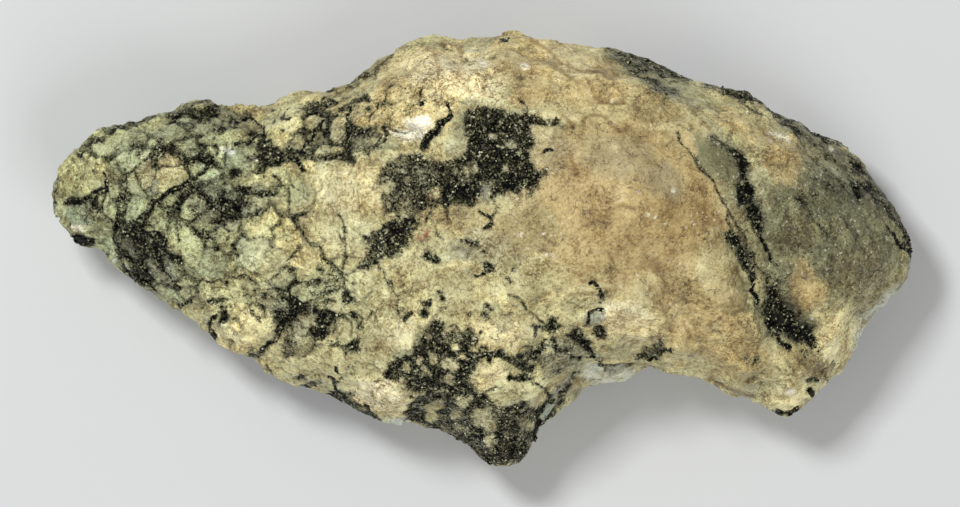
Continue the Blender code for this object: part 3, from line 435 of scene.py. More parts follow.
PEPPERED: tuple[Pepper, ...] = (
    Pepper(-31.0, 4.0, 12.0, 10.5, 0.0, 0.8), Pepper(-26.0, 4.0, 6.0, 4.0, -30.0, 1.2),
    Pepper(-15.0, 11.5, 4.0, 3.6, 20.0, 1.0), Pepper(-11.4, 11.0, 2.4, 2.0, 0.0, 1.2, False),
    Pepper(-17.2, -6.8, 5.0, 3.4, -30.0, 1.0),
    Pepper(-16.4, -3.2, 5.0, 2.8, 0.0, 1.0),
    Pepper(-12.0, -13.0, 7.0, 2.0, -32.0, 0.6, False),
    Pepper(-32.5, -2.0, 4.0, 2.4, -40.0, 1.2), Pepper(-26.0, 12.0, 4.0, 2.0, 10.0, 1.0, False),
    Pepper(-2.0, -13.0, 8.0, 7.0, 0.0, 0.7, False), Pepper(8.0, -9.5, 5.0, 3.6, -30.0, 0.6, False),
    Pepper(36.0, 6.0, 6.0, 4.0, -45.0, 0.6, False), Pepper(36.0, 0.0, 6.0, 6.0, 0.0, 0.25, False),
    Pepper(-5.0, 6.0, 4.0, 6.0, -30.0, 0.7, False),
    Pepper(30.0, 13.0, 7.0, 1.4, -35.0, 0.7, False), Pepper(28.5, -3.0, 2.0, 3.0, 20.0, 0.7, False),
    Pepper(18.0, 17.4, 5.0, 1.5, -30.0, 0.7, False),
)

# Faint lines that darken the calcite and hold no ore: some are fine brown lines, and some are painted shade
# along creases and small steps.
HAIRLINES: tuple[Route, ...] = (
    ((11.9, 3.5), (12.7, 3.1)), ((12.7, -0.4), (13.0, -1.0)), ((14.3, 1.5), (15.0, 0.8)),
    ((5.9, -0.1), (6.2, 0.05)), ((3.6, 4.6), (3.6, 4.2)), ((29.2, 5.2), (29.4, 4.5)),
    ((5.0, 21.0), (6.2, 20.0), (7.6, 19.0), (9.0, 17.9), (10.5, 17.5), (12.4, 17.5)),
    ((7.2, 18.5), (8.0, 17.8), (9.0, 16.8)), ((10.6, 16.8), (11.3, 15.3), (12.2, 14.5), (14.4, 14.5)),
    ((10.2, 12.9), (11.2, 13.3), (12.0, 13.2), (12.8, 12.5), (13.9, 11.5)), ((9.0, 9.0), (9.6, 7.4)),
    ((9.0, -4.3), (10.3, -4.2), (11.0, -4.2)), ((10.0, -3.0), (12.0, -2.9)), ((8.4, 11.8), (9.4, 12.3)),
    ((10.4, 2.4), (11.6, 2.9), (12.9, 2.5)), ((15.2, 4.0), (14.0, 4.4), (12.6, 3.9)),
    ((6.3, 2.4), (6.4, 1.2), (7.4, 0.6)), ((25.1, -1.6), (25.5, -2.6), (26.0, -3.4)),
    ((17.0, -4.8), (18.0, -5.4), (18.4, -6.4)), ((20.0, -7.0), (20.8, -8.6)), ((17.8, -2.6), (18.4, -3.6)),
    ((9.2, 12.0), (8.6, 13.0)), ((21.0, 13.6), (21.8, 12.8), (22.5, 12.0)),
    ((33.0, -11.7), (33.8, -12.0), (34.4, -12.5)), ((30.0, -9.6), (31.4, -10.6), (32.6, -11.9)),
    ((-2.0, 20.0), (-1.6, 18.4)), ((-4.6, 19.6), (-4.0, 17.2)), ((0.6, 16.8), (0.4, 15.2)),
    ((23.0, -12.6), (24.6, -13.6), (27.4, -14.4)), ((22.2, 4.8), (22.0, 2.2)),
)

RUST_SPOTS: tuple[Spot, ...] = (
    (-5.4, 1.6, 0.3), (-5.9, 1.0, 0.25), (-7.1, 10.7, 0.3), (-0.1, 14.1, 0.5), (5.8, 12.8, 0.6),
    (4.5, 13.6, 0.6), (29.2, 13.7, 0.8), (32.2, 11.8, 0.6), (41.1, 3.9, 0.4), (41.7, 2.8, 0.4),
    (42.6, 1.0, 0.3), (20.2, 10.2, 1.0), (22.0, 7.6, 1.0), (23.6, 5.8, 1.0), (25.0, 3.0, 1.0),
    (31.0, -16.0, 0.4), (-13.2, 1.0, 0.6),
)

# Each stain lies over the ones before it.
STAINS: tuple[Stain, ...] = (
    Stain(-32.0, 5.0, 15.0, 12.0, 0.0, 0.95, 0.55, GREY_GREEN),
    Stain(-38.0, 8.0, 3.0, 3.0, 0.0, 0.5, 0.4, PALE_GREEN),
    Stain(-17.0, 3.0, 9.0, 7.0, 0.0, 0.7, 0.35, CREAM),
    Stain(-12.5, 6.0, 3.5, 3.5, 0.0, 0.6, 0.3, IVORY),
    Stain(-20.0, 2.0, 2.2, 2.0, 0.0, 0.5, 0.3, GREY_GREEN),
    Stain(-26.0, 4.0, 4.4, 2.6, -30.0, 0.65, 0.9, HALO),
    Stain(-32.6, -1.0, 4.0, 2.6, -40.0, 0.8, 0.9, HALO),
    Stain(-26.5, 12.4, 3.0, 1.2, 10.0, 0.6, 0.9, HALO),
    Stain(-15.0, 11.6, 2.6, 2.2, 0.0, 0.6, 0.9, HALO),
    Stain(-11.5, 11.0, 2.0, 1.6, 0.0, 0.9, 0.9, HALO),
    Stain(-17.4, -6.9, 3.6, 2.4, -30.0, 0.7, 0.9, MURK),
    Stain(26.8, -9.2, 1.4, 2.0, 20.0, 0.5, 0.6, BROWN),
    Stain(-16.6, -3.6, 4.6, 2.4, 0.0, 0.6, 0.6, GREY_GREEN),
    Stain(-31.5, 8.2, 3.6, 2.8, 0.0, 0.85, 0.4, PALE_GREEN),
    Stain(-31.6, 8.0, 3.0, 2.2, 0.0, 0.3, 0.4, IVORY),
    Stain(-19.0, 6.0, 2.6, 2.2, 0.0, 0.8, 0.5, GREY_GREEN),
    Stain(-4.0, -12.0, 5.0, 3.0, -20.0, 0.5, 0.9, MURK),
    Stain(1.4, -18.0, 5.4, 3.8, 0.0, 0.6, 0.9, MURK),
    Stain(-6.6, 6.4, 3.4, 3.4, 0.0, 0.5, 0.9, MURK),
    Stain(1.6, 9.4, 4.4, 4.6, 0.0, 0.8, 0.9, MURK),
    Stain(8.6, -10.4, 3.0, 2.0, 0.0, 0.6, 0.8, MURK),
    Stain(-34.5, 6.2, 0.7, 1.6, -5.0, 0.9, 0.2, PALE_GREEN),
    Stain(-35.4, 7.6, 0.5, 1.1, 0.0, 0.9, 0.2, PALE_GREEN),
    # Over the upper face the pale stains give its creamy calcite, and also paint it lighter for the light
    # that falls on that face.
    Stain(-6.0, 15.5, 9.0, 4.5, 18.0, 0.8, 0.5, BUTTER),
    Stain(-3.0, 17.0, 5.5, 3.6, 0.0, 0.9, 0.7, IVORY), Stain(-3.0, 17.4, 4.0, 2.4, 0.0, 0.2, 0.7, CHALK_AND_HIGHLIGHT),
    Stain(-11.2, 16.0, 2.6, 0.9, 40.0, 0.7, 0.2, CREAM),
    Stain(-2.2, 18.0, 0.7, 2.4, 0.0, 0.5, 0.9, TAN),
    Stain(-4.5, 19.6, 2.2, 0.8, -10.0, 0.5, 0.9, TAN),
    Stain(-9.5, 10.2, 1.4, 0.9, 0.0, 0.8, 0.2, PALE_GREEN),
    Stain(-2.2, 11.6, 1.0, 2.6, -25.0, 0.85, 0.2, PALE_GREEN),
    Stain(-0.6, 14.6, 2.4, 0.6, 0.0, 0.6, 0.6, PALE_GREEN),
    Stain(1.2, 16.6, 2.2, 2.0, 0.0, 0.7, 0.8, IVORY),
    Stain(8.0, 17.5, 8.0, 3.6, -18.0, 0.8, 0.35, HONEY),
    Stain(8.6, 18.6, 3.6, 1.4, -30.0, 0.8, 0.3, IVORY),
    Stain(4.8, 15.2, 2.6, 1.4, 0.0, 0.7, 0.3, TAN),
    Stain(14.0, 5.0, 12.0, 10.0, 0.0, 0.9, 0.15, TAN),
    Stain(8.0, 13.2, 3.0, 0.7, -5.0, 0.5, 0.3, IVORY),
    Stain(17.8, 12.2, 2.6, 0.5, 0.0, 0.5, 0.3, IVORY),
    Stain(13.5, 9.0, 4.5, 2.6, -20.0, 0.45, 0.15, GREY),
    Stain(18.0, 6.5, 2.6, 2.0, -40.0, 0.5, 0.2, GREY),
    Stain(11.5, 3.0, 3.0, 1.0, 10.0, 0.35, 0.3, BROWN),
    Stain(17.2, -1.6, 1.8, 0.9, -25.0, 0.7, 0.3, BROWN),
    Stain(19.5, 2.0, 4.0, 3.0, -60.0, 0.55, 0.5, OCHRE),
    Stain(18.2, 14.0, 2.6, 1.4, -20.0, 0.45, 0.6, OCHRE),
    Stain(12.6, 17.8, 1.6, 1.4, 0.0, 0.5, 0.4, OCHRE),
    Stain(14.5, -5.8, 2.4, 1.4, -30.0, 0.7, 0.1, BUTTER),
    Stain(21.5, -6.0, 5.5, 5.5, 0.0, 0.7, 0.3, TAN), Stain(26.0, -11.2, 4.4, 2.2, 0.0, 0.5, 0.4, OCHRE),
    Stain(2.0, -2.0, 6.0, 5.0, 0.0, 0.6, 0.3, CREAM),
    Stain(4.6, 2.0, 4.0, 3.0, 0.0, 0.95, 0.3, FAWN),
    Stain(-1.0, 3.0, 3.4, 2.0, 0.0, 0.7, 0.3, FAWN),
    Stain(0.0, 0.0, 3.0, 2.0, 20.0, 0.5, 0.6, GREY),
    Stain(22.4, 2.0, 1.8, 5.0, 20.0, 0.9, 0.6, OCHRE), Stain(22.2, 3.0, 1.3, 2.4, 20.0, 0.45, 0.5, BROWN),
    Stain(7.6, 9.6, 1.6, 2.4, 0.0, 0.5, 0.4, GREY),
    Stain(22.8, -0.6, 2.0, 3.0, 0.0, 0.6, 0.15, CREAM),
    Stain(34.6, 2.0, 10.5, 7.5, -35.0, 0.95, 0.85, OLIVE),
    Stain(24.6, 7.0, 1.8, 4.6, 28.0, 0.6, 0.7, OLIVE),
    Stain(29.4, 0.0, 1.8, 3.6, 20.0, 0.6, 0.6, OLIVE),
    Stain(25.9, 7.4, 1.0, 3.0, 5.0, 0.75, 0.7, SMOKE),
    Stain(27.3, 3.4, 0.9, 2.4, 18.0, 0.75, 0.7, SMOKE),
    Stain(26.0, 0.0, 1.2, 2.6, 38.0, 0.6, 0.7, SMOKE),
    Stain(29.6, -5.4, 3.4, 4.6, 30.0, 0.75, 0.7, OLIVE),
    Stain(30.8, -7.0, 2.4, 3.2, 35.0, 0.75, 0.7, SMOKE),
    Stain(32.0, 12.0, 7.0, 1.1, -38.0, 0.65, 1.0, SMOKE),
    Stain(40.6, 4.6, 5.0, 0.9, -52.0, 0.75, 1.0, SMOKE),
    Stain(37.0, 7.0, 2.4, 2.2, -40.0, 0.2, 1.0, SMOKE),
    Stain(23.5, 9.0, 3.0, 2.2, -50.0, 0.8, 0.5, OLIVE),
    Stain(18.0, 17.4, 5.0, 1.5, -35.0, 0.6, 0.6, OLIVE),
    Stain(25.8, 12.2, 4.5, 1.1, -28.0, 0.7, 0.3, HONEY),
    Stain(30.0, 9.0, 2.2, 3.0, 35.0, 0.6, 0.5, HONEY),
    Stain(22.4, 14.6, 2.0, 1.0, -30.0, 0.6, 0.2, PALE_GREEN),
    Stain(29.5, 9.0, 2.4, 1.4, -40.0, 0.5, 0.7, OCHRE),
    Stain(32.2, -3.8, 1.8, 2.8, 15.0, 0.9, 0.1, TAN), Stain(32.2, -3.8, 2.2, 3.0, 15.0, 0.5, 0.3, FAWN),
    Stain(38.2, -2.6, 3.0, 3.4, 0.0, 0.4, 0.7, FAWN),
    Stain(35.4, -8.4, 2.6, 3.4, -20.0, 0.7, 0.2, IVORY),
    # The pale blue on these side walls is pale translucent calcite with a painted reflection of a blue
    # surround.
    Stain(37.8, -9.0, 0.9, 3.6, -8.0, 0.8, 0.1, PALE_WITH_BLUE_REFLECTION),
    Stain(40.6, -5.0, 3.4, 0.9, 38.0, 0.8, 0.1, PALE_WITH_BLUE_REFLECTION),
    Stain(33.4, -11.6, 2.2, 1.6, -40.0, 0.6, 0.6, BROWN),
    Stain(31.0, -14.6, 1.8, 1.8, 0.0, 0.95, 0.2, IVORY),
    Stain(26.4, -13.9, 1.6, 0.8, 0.0, 0.7, 0.1, GREY),
    Stain(-24.0, -8.0, 2.6, 2.4, 0.0, 0.6, 0.3, IVORY),
    Stain(-8.4, -8.6, 1.8, 1.6, 0.0, 0.6, 0.3, IVORY),
    Stain(-10.6, -9.0, 1.6, 1.0, -20.0, 0.6, 0.3, BROWN),
    Stain(-10.0, -14.4, 3.6, 2.2, -20.0, 0.9, 0.6, IVORY),
    Stain(-10.0, -14.4, 2.6, 1.6, -20.0, 0.25, 0.4, CHALK_AND_HIGHLIGHT),
    Stain(-13.6, -9.4, 4.0, 3.4, 0.0, 0.6, 0.3, CREAM),
    Stain(2.2, -8.0, 3.4, 2.0, 0.0, 0.75, 0.3, IVORY),
    Stain(1.0, -12.4, 1.6, 1.4, 0.0, 0.8, 0.3, IVORY),
    Stain(14.4, -7.0, 4.4, 2.4, -15.0, 0.95, 0.2, IVORY),
    Stain(14.2, -6.4, 3.0, 1.8, -15.0, 0.25, 0.2, CHALK_AND_HIGHLIGHT),
    Stain(3.0, -5.0, 3.6, 2.4, -20.0, 0.5, 0.2, CREAM),
    # These pale blue and blue grey stains on the ledge and the prong's side walls are pale calcite with a
    # painted reflection of a blue surround, lightened against the shade there.
    Stain(13.0, -12.3, 3.6, 1.0, 0.0, 1.0, 0.0, PALE_WITH_BLUE_REFLECTION),
    Stain(13.0, -12.3, 3.0, 0.8, 0.0, 0.25, 0.0, CHALK_AND_HIGHLIGHT),
    Stain(11.2, -11.8, 0.9, 0.7, 0.0, 0.8, 0.05, PALE_WITH_BLUE_REFLECTION),
    Stain(7.0, -15.0, 0.45, 2.9, -28.0, 0.9, 0.1, BLUE_GREY),
    Stain(8.9, -12.7, 1.7, 0.4, 46.0, 0.9, 0.1, PALE_WITH_BLUE_REFLECTION),
    Stain(5.7, -17.8, 0.4, 1.2, -15.0, 0.9, 0.1, PALE_WITH_BLUE_REFLECTION),
    Stain(-8.2, -17.2, 1.5, 0.45, 0.0, 0.9, 0.1, PALE_WITH_BLUE_REFLECTION),
    Stain(-0.8, -19.6, 0.5, 0.4, 0.0, 0.8, 0.3, OCHRE),
    Stain(23.6, -13.6, 0.5, 0.7, 0.0, 0.7, 0.4, BROWN),
    Stain(11.4, -6.8, 1.2, 0.7, 0.0, 0.9, 0.1, BLUE_GREY),
    Stain(9.4, -14.2, 0.9, 1.2, 0.0, 0.7, 0.1, GREY),
    Stain(0.4, 5.6, 0.8, 0.9, 0.0, 0.9, 0.2, BLUE_GREY),
    # The small white spots from here to the end, apart from the two red ones, are painted highlights of
    # light on small facets.
    Stain(-6.0, 12.5, 1.7, 0.7, 0.0, 1.0, 0.1, CHALK_AND_HIGHLIGHT),
    Stain(-6.8, 11.4, 2.2, 0.7, 0.0, 0.7, 0.8, CHALK_AND_HIGHLIGHT),
    Stain(-25.1, 9.8, 0.9, 0.45, 0.0, 0.8, 0.1, CHALK_AND_HIGHLIGHT),
    Stain(-39.9, 2.3, 0.8, 0.5, 20.0, 0.8, 0.1, CHALK_AND_HIGHLIGHT),
    Stain(-5.3, 1.6, 0.22, 0.7, -25.0, 0.9, 0.1, RED),
    Stain(-5.9, 1.1, 0.6, 0.2, -30.0, 0.8, 0.1, RED),
    Stain(-22.4, 9.2, 0.5, 0.4, 0.0, 0.8, 0.1, CHALK_AND_HIGHLIGHT),
    Stain(29.6, 11.2, 1.3, 0.5, -20.0, 0.6, 0.6, CHALK_AND_HIGHLIGHT),
    Stain(31.0, -14.0, 0.6, 0.5, 0.0, 0.8, 0.1, CHALK_AND_HIGHLIGHT),
    Stain(0.4, 18.3, 0.9, 0.6, 0.0, 0.5, 0.6, CHALK_AND_HIGHLIGHT),
    Stain(4.5, 18.2, 0.5, 0.4, 0.0, 0.8, 0.2, CHALK_AND_HIGHLIGHT),
)

# Painted highlights: small white spots that stand for glints of light on the facets.
GLINTS: tuple[Spot, ...] = (
    (15.6, 5.7, 0.2), (19.0, 5.8, 0.26), (16.5, 3.5, 0.17), (17.2, 3.3, 0.17), (18.2, 2.6, 0.17),
    (4.1, 1.5, 0.2), (6.2, 1.6, 0.17), (6.1, -0.8, 0.15), (6.5, -0.4, 0.15), (7.0, -0.4, 0.15),
    (7.3, -0.7, 0.15), (33.8, -2.5, 0.2), (37.6, 1.9, 0.18), (0.4, -18.8, 0.25), (4.1, -11.5, 0.2),
    (13.0, 14.6, 0.2), (-10.3, -1.9, 0.16), (-36.4, -0.9, 0.2), (34.9, 10.0, 0.25), (32.0, 12.5, 0.2),
    (21.6, -9.2, 0.16), (31.1, -13.9, 0.25), (0.3, 18.6, 0.3), (2.2, 6.1, 0.18), (26.5, 13.6, 0.18),
    (28.8, 10.7, 0.2), (30.6, 10.5, 0.2), (14.6, 5.3, 0.15), (-1.7, 6.0, 0.15), (35.0, 9.8, 0.2),
)


def stroke_distance(points: np.ndarray, route: Route, closed: bool = False) -> np.ndarray:
    """Distance in plan from each point to a line of straight runs.

    Args:
        points: one row of x and y for each point.
        route: the line's corners; one corner is a spot.
        closed: whether the line returns to its start.

    Returns:
        The distances.
    """
    corners = np.array(route + route[:1] if closed else route, float)
    nearest = np.hypot(*(points - corners[0]).T)
    for start, end in zip(corners[:-1], corners[1:]):
        run = end - start
        along = np.clip((points - start) @ run / (run @ run), 0.0, 1.0)
        away = points - start - along[:, None] * run
        nearest = np.minimum(nearest, np.hypot(away[:, 0], away[:, 1]))
    return nearest


def within(points: np.ndarray, outline: Route) -> np.ndarray:
    """Say which points lie inside a closed outline, seen from above.

    Args:
        points: one row of x and y for each point.
        outline: the outline's corners.

    Returns:
        True for each point inside.
    """
    corners = np.array(outline, float)
    found = np.zeros(len(points), bool)
    for (x0, y0), (x1, y1) in zip(corners, np.roll(corners, -1, axis=0)):
        if y0 != y1:
            crossing = x0 + (points[:, 1] - y0) * (x1 - x0) / (y1 - y0)
            found ^= ((y0 > points[:, 1]) != (y1 > points[:, 1])) & (points[:, 0] < crossing)
    return found


def ease(value: np.ndarray, low: float, high: float) -> np.ndarray:
    """Go smoothly from 0 at low to 1 at high.

    Args:
        value: the numbers to weigh.
        low: where the result is 0.
        high: where the result is 1.

    Returns:
        The shares from 0 to 1.
    """
    share = np.clip((value - low) / (high - low), 0.0, 1.0)
    return share * share * (3.0 - 2.0 * share)


def near_route(points: np.ndarray, route: Route, reach: float) -> np.ndarray:
    """Find the points inside the box round a route.

    Args:
        points: one row of x and y for each point.
        route: the route's corners.
        reach: how far the box goes past the route.

    Returns:
        The numbers of the points found.
    """
    corners = np.array(route, float)
    low, high = corners.min(0) - reach, corners.max(0) + reach
    return np.nonzero(((points > low) & (points < high)).all(1))[0]


def nothing_selected() -> None:
    """Leave edit mode and deselect everything, so that an operator acts only on its own piece."""
    if bpy.context.object and bpy.context.object.mode != "OBJECT":
        bpy.ops.object.mode_set(mode="OBJECT")
    bpy.ops.object.select_all(action="DESELECT")


def only(piece: bpy.types.Object) -> None:
    """Select one piece and make it the active one.

    Args:
        piece: the piece.
    """
    nothing_selected()
    piece.select_set(True)
    bpy.context.view_layer.objects.active = piece


def finish_modifier(piece: bpy.types.Object, kind: str, **settings: object) -> None:
    """Give a piece a modifier and apply it.

    Args:
        piece: the mesh.
        kind: the modifier's kind.
        settings: the modifier's own settings.
    """
    only(piece)
    modifier = piece.modifiers.new(kind.lower(), kind)
    for name, value in settings.items():
        setattr(modifier, name, value)
    bpy.ops.object.modifier_apply(modifier=modifier.name)


def column(items: bpy.types.bpy_prop_collection, name: str, width: int = 3,
           kind: type = float) -> np.ndarray:
    """Read one property of all of a mesh's items.

    Args:
        items: the mesh's vertices, edges or triangles.
        name: the property.
        width: how many numbers it has.
        kind: the numbers' type.

    Returns:
        One row for each item.
    """
    flat = np.empty(len(items) * width, kind)
    items.foreach_get(name, flat)
    return flat.reshape(-1, width)


def put(piece: bpy.types.Object, places: np.ndarray) -> None:
    """Move a piece's vertices.

    Args:
        piece: the mesh.
        places: where each vertex goes, in millimetres.
    """
    piece.data.vertices.foreach_set("co", (places * MM).ravel())
    piece.data.update()


def keep_value(piece: bpy.types.Object, name: str, values: np.ndarray) -> None:
    """Store one number for each vertex, for the material to read.

    Args:
        piece: the mesh.
        name: the attribute's name.
        values: the numbers.
    """
    layer = piece.data.attributes.new(name, "FLOAT", "POINT")
    layer.data.foreach_set("value", values.astype(np.float32))


def keep_colour(piece: bpy.types.Object, name: str, values: np.ndarray) -> None:
    """Store one linear colour for each vertex, for the material to read.

    Args:
        piece: the mesh.
        name: the attribute's name.
        values: a row of red, green and blue for each vertex.
    """
    layer = piece.data.attributes.new(name, "FLOAT_COLOR", "POINT")
    layer.data.foreach_set("color", np.c_[values, np.ones(len(values))].astype(np.float32).ravel())


# The ore's and the veins' value where there is none, and the least share of pepper that shows.
BARE = -1.5
TRACE = 0.02
# How much of the calcite's red, green and blue a hairline takes away.
HAIRLINE_DEPTH = np.array((0.40, 0.48, 0.58))


def soft_noise(places: np.ndarray, size: float, shift: float = 0.0) -> np.ndarray:
    """Make smooth noise.

    Args:
        places: rows of x, y and z in millimetres.
        size: the lumps' size in millimetres.
        shift: another number gives other noise.

    Returns:
        A value from about -1 to 1 for each place.
    """
    return np.array([noise.noise(Vector(place)) for place in places / size + shift])


def drift(places: np.ndarray, size: float, shift: float = 0.0) -> np.ndarray:
    """Make smooth noise of three numbers, to bend outlines and borders with.

    Args:
        places: rows of x, y and z in millimetres.
        size: the bends' size in millimetres.
        shift: another number gives other bends.

    Returns:
        A row of three values from about -1 to 1 for each place.
    """
    return np.array([noise.noise_vector(Vector(place)) for place in places / size + shift])


# Any numbers without a pattern do here: they spread the grains' places over the range from 0 to 1.
GRAIN_MIXER = np.array(((12.9898, 39.346, 73.156), (78.233, 11.135, 52.235), (37.719, 83.155, 9.151)))
GRAIN_SPREAD = 43758.5453


@dataclass(frozen=True)
class Grains:
    """The crystal grains that places fall in.

    The border is each place's distance from its grain's border, the mark is a row of three numbers
    from 0 to 1 that is the same all over a grain, the slope is the height of the grain's own tilted
    cleavage face there, and the cleavage is how far the place lies across the grain's cleavage
    planes. All lengths are in millimetres.
    """

    border: np.ndarray
    mark: np.ndarray
    slope: np.ndarray
    cleavage: np.ndarray


def crystal_grains(places: np.ndarray, size: float, shift: float = 0.0) -> Grains:
    """Sort places into crystal grains of about one size.

    Args:
        places: rows of x, y and z in millimetres.
        size: the usual size of a grain.
        shift: another number gives other grains.

    Returns:
        The grains at each place.
    """
    border = np.empty(len(places))
    seed = np.empty((len(places), 3))
    moved = places / size + shift + 0.16 * drift(places, 0.4 * size, shift)
    for index, place in enumerate(moved):
        distances, seeds = noise.voronoi(Vector(place))
        border[index] = (distances[1] - distances[0]) * size / 2
        seed[index] = seeds[0]
    mark = np.abs(np.modf(np.sin(seed @ GRAIN_MIXER) * GRAIN_SPREAD)[0])
    slope = ((mark * 2.0 - 1.0) * (moved - seed)).sum(1) * size
    across = np.c_[np.cos(mark[:, 0] * math.pi), np.sin(mark[:, 0] * math.pi), mark[:, 1] - 0.5]
    return Grains(border, mark, slope, (across * places).sum(1) + 40.0 * mark[:, 2])


def hollowness(piece: bpy.types.Object, places: np.ndarray, normals: np.ndarray,
               rounds: int = 6) -> np.ndarray:
    """Find how far each vertex lies below the skin around it.

    Args:
        piece: the mesh.
        places: its vertices in millimetres.
        normals: its vertex normals.
        rounds: how often the skin is averaged; more rounds look further around.

    Returns:
        The depths in millimetres, over 0 in hollows and under 0 on rises.
    """
    ends = column(piece.data.edges, "vertices", 2, np.int32)
    count = np.bincount(ends.ravel(), minlength=len(places))[:, None].clip(1)
    level = places
    for _ in range(rounds):
        total = np.stack([np.bincount(ends[:, 0], level[ends[:, 1], axis], len(places))
                          + np.bincount(ends[:, 1], level[ends[:, 0], axis], len(places))
                          for axis in range(3)], axis=1)
        level = total / count
    return ((level - places) * normals).sum(1)


def add_node(tree: bpy.types.NodeTree, name: str, kind: str, settings: Settings | None = None,
             links: Links | None = None) -> None:
    """Add a shader node.

    Args:
        tree: the material's node tree.
        name: the node's own name, which links go by.
        kind: the node's type, without the usual beginning.
        settings: values by the name of the node's own property, or else by its input.
        links: what feeds each input: another node, with a dot and its output unless it is the first.
    """
    node = tree.nodes.new("ShaderNode" + kind)
    node.name = name
    for key, value in (settings or {}).items():
        if isinstance(key, str) and hasattr(node, key):
            setattr(node, key, value)
        else:
            node.inputs[key].default_value = value
    for key, start in (links or {}).items():
        source, _, output = start.partition(".")
        outputs = tree.nodes[source].outputs
        tree.links.new(outputs[int(output) if output.isdigit() else output or 0], node.inputs[key])


def per(size: float) -> float:
    """The scale of a pattern whose cells or lumps have a size in millimetres."""
    return 1.0 / (size * MM)


def lumps(size: float, detail: float, rough: float = 0.5, bent: float = 0.0) -> Settings:
    """Settings of noise with lumps of a size in millimetres, bent out of round."""
    return {"Scale": per(size), "Detail": detail, "Roughness": rough, "Distortion": bent}


def ends(low: float, high: float, lowest: float = 0.0, highest: float = 1.0) -> Settings:
    """Settings that turn values from low to high into values from lowest to highest."""
    return {"From Min": low, "From Max": high, "To Min": lowest, "To Max": highest}


def part(weight: float) -> Settings:
    """Settings that add input 0, times a weight, to input 2."""
    return {"operation": "MULTIPLY_ADD", 1: weight}


def cover(colour: str) -> Settings:
    """Settings that lay a colour over input 6 by the share in input 0."""
    return {"data_type": "RGBA", 7: linear(colour)}


PLACE = {"Vector": "place.Object"}
TIMES = {"operation": "MULTIPLY"}


def fill_ramp(ramp: bpy.types.ColorRamp, stops: Stops) -> None:
    """Set a colour ramp's stops.

    Args:
        ramp: the ramp, which has two stops.
        stops: the places and colours.
    """
    for _ in stops[2:]:
        ramp.elements.new(0.5)
    for element, (position, colour) in zip(ramp.elements, stops):
        element.position = position
        element.color = linear(colour)


